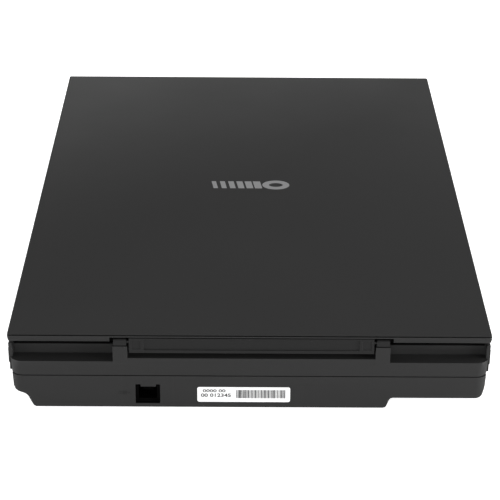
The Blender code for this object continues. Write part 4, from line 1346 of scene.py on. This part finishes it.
# %% Circuit boards
for node, width in (("main_board", 0.12), ("button_board", 0.12), ("main_chip", 0.15), ("ribbon_connector", 0.15)):
    finer(node, width, segments=2)
CHIP_LOW, CHIP_HIGH = box_mm("main_chip")
BOARD_TOP_Z = box_mm("main_board")[1][2]
LEG_PITCH = 0.8
for side, x in (("left", CHIP_HIGH[0] + 0.35), ("right", CHIP_LOW[0] - 0.35)):
    count = int((CHIP_HIGH[1] - CHIP_LOW[1] - 1.0) / LEG_PITCH)
    row(
        f"chip_legs_{side}", "base", "bright_steel", count,
        (x, CHIP_LOW[1] + 0.7, BOARD_TOP_Z + 0.17), (0.0, LEG_PITCH, 0.0), (0.9, 0.35, 0.3),
    )


def board_parts():
    """Small parts on the main board, on a grid with gaps, each turned and sized by chance."""
    top = BOARD_TOP_Z + 0.02
    points = [(47.0 + 5.4 * i, 166.0 + 3.9 * j, top) for i in range(9) for j in range(2) if (i * 7 + j * 3) % 5]
    points += [(28.0, 166.0 + 4.4 * j, top) for j in range(3)]
    small = object_from(boxes(bmesh.new(), (-1.1, 1.1, -0.55, 0.55, 0.0, 0.8)), "small_part_pattern")
    made = placed_on(points, small, "board_small_parts", "chip_epoxy", turn=1.0, size_chance=0.45, seed=11)
    round_edges(made, 0.08, 1)
    return settle(made, "base", "chip_epoxy")


board_parts()

# %% [markdown]
# ## Buttons
# Four small caps sit in the front face. Each cap is softly rounded and shows a plain pictogram: a sheet, two
# sheets, an envelope and a folder. The pictograms are drawn as thin frames of bars, a hair proud of the cap.

# %% Buttons
PRINT_DEPTH = 0.06


def frame_bars(x0, x1, z0, z1, thick=0.22):
    """The four sides of an upright rectangle as spans of (x0, x1, z0, z1)."""
    return [
        (x0, x1, z0, z0 + thick), (x0, x1, z1 - thick, z1),
        (x0, x0 + thick, z0 + thick, z1 - thick), (x1 - thick, x1, z0 + thick, z1 - thick),
    ]


def pictogram(number, x, z, face_y):
    """The mark on one cap, in spans about the cap's middle."""
    marks = (
        frame_bars(-0.9, 0.9, -1.2, 1.2) + [(-0.5, 0.5, 0.3, 0.5), (-0.5, 0.5, -0.3, -0.1)],
        frame_bars(-1.2, 0.4, -1.2, 0.8) + frame_bars(-0.3, 1.3, -0.7, 1.3),
        frame_bars(-1.5, 1.5, -1.0, 1.0) + [(-1.1, 1.1, 0.1, 0.3)],
        frame_bars(-1.4, 1.4, -1.0, 0.7) + [(-1.4, -0.2, 0.7, 1.1)],
    )[number - 1]
    spans = [(x + x0, x + x1, face_y - PRINT_DEPTH, face_y + 0.02, z + z0, z + z1) for x0, x1, z0, z1 in marks]
    box_piece(f"button_{number}_mark", spans, f"button_{number}_cap", "print_white")


for number in (1, 2, 3, 4):
    finer(f"button_{number}", 0.5, segments=4)
    cap_low, cap_high = box_mm(f"button_{number}")
    pictogram(number, (cap_low[0] + cap_high[0]) / 2.0, (cap_low[2] + cap_high[2]) / 2.0, cap_low[1])

# %% [markdown]
# ## Last finishes
# Whatever is still shown as it came from the working model now gets its finish, slot by slot.

# %% Last finishes
kept = []
for node, made in frame["nodes"].items():
    if made.hide_render:
        continue
    made.data.materials.clear()
    made.data.materials.append(FINISH[slot_of[node]])
    kept.append(node)
print("plain parts kept, with a new finish:", kept)

# %% [markdown]
# ## Size
# The finished scanner is meant to stay inside the working model's box; the finished scanner's box is printed,
# in millimetres.

# %% Size
low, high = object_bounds()
print("box of the finished scanner, mm:", [round(v / MM, 2) for v in (*low, *high)])
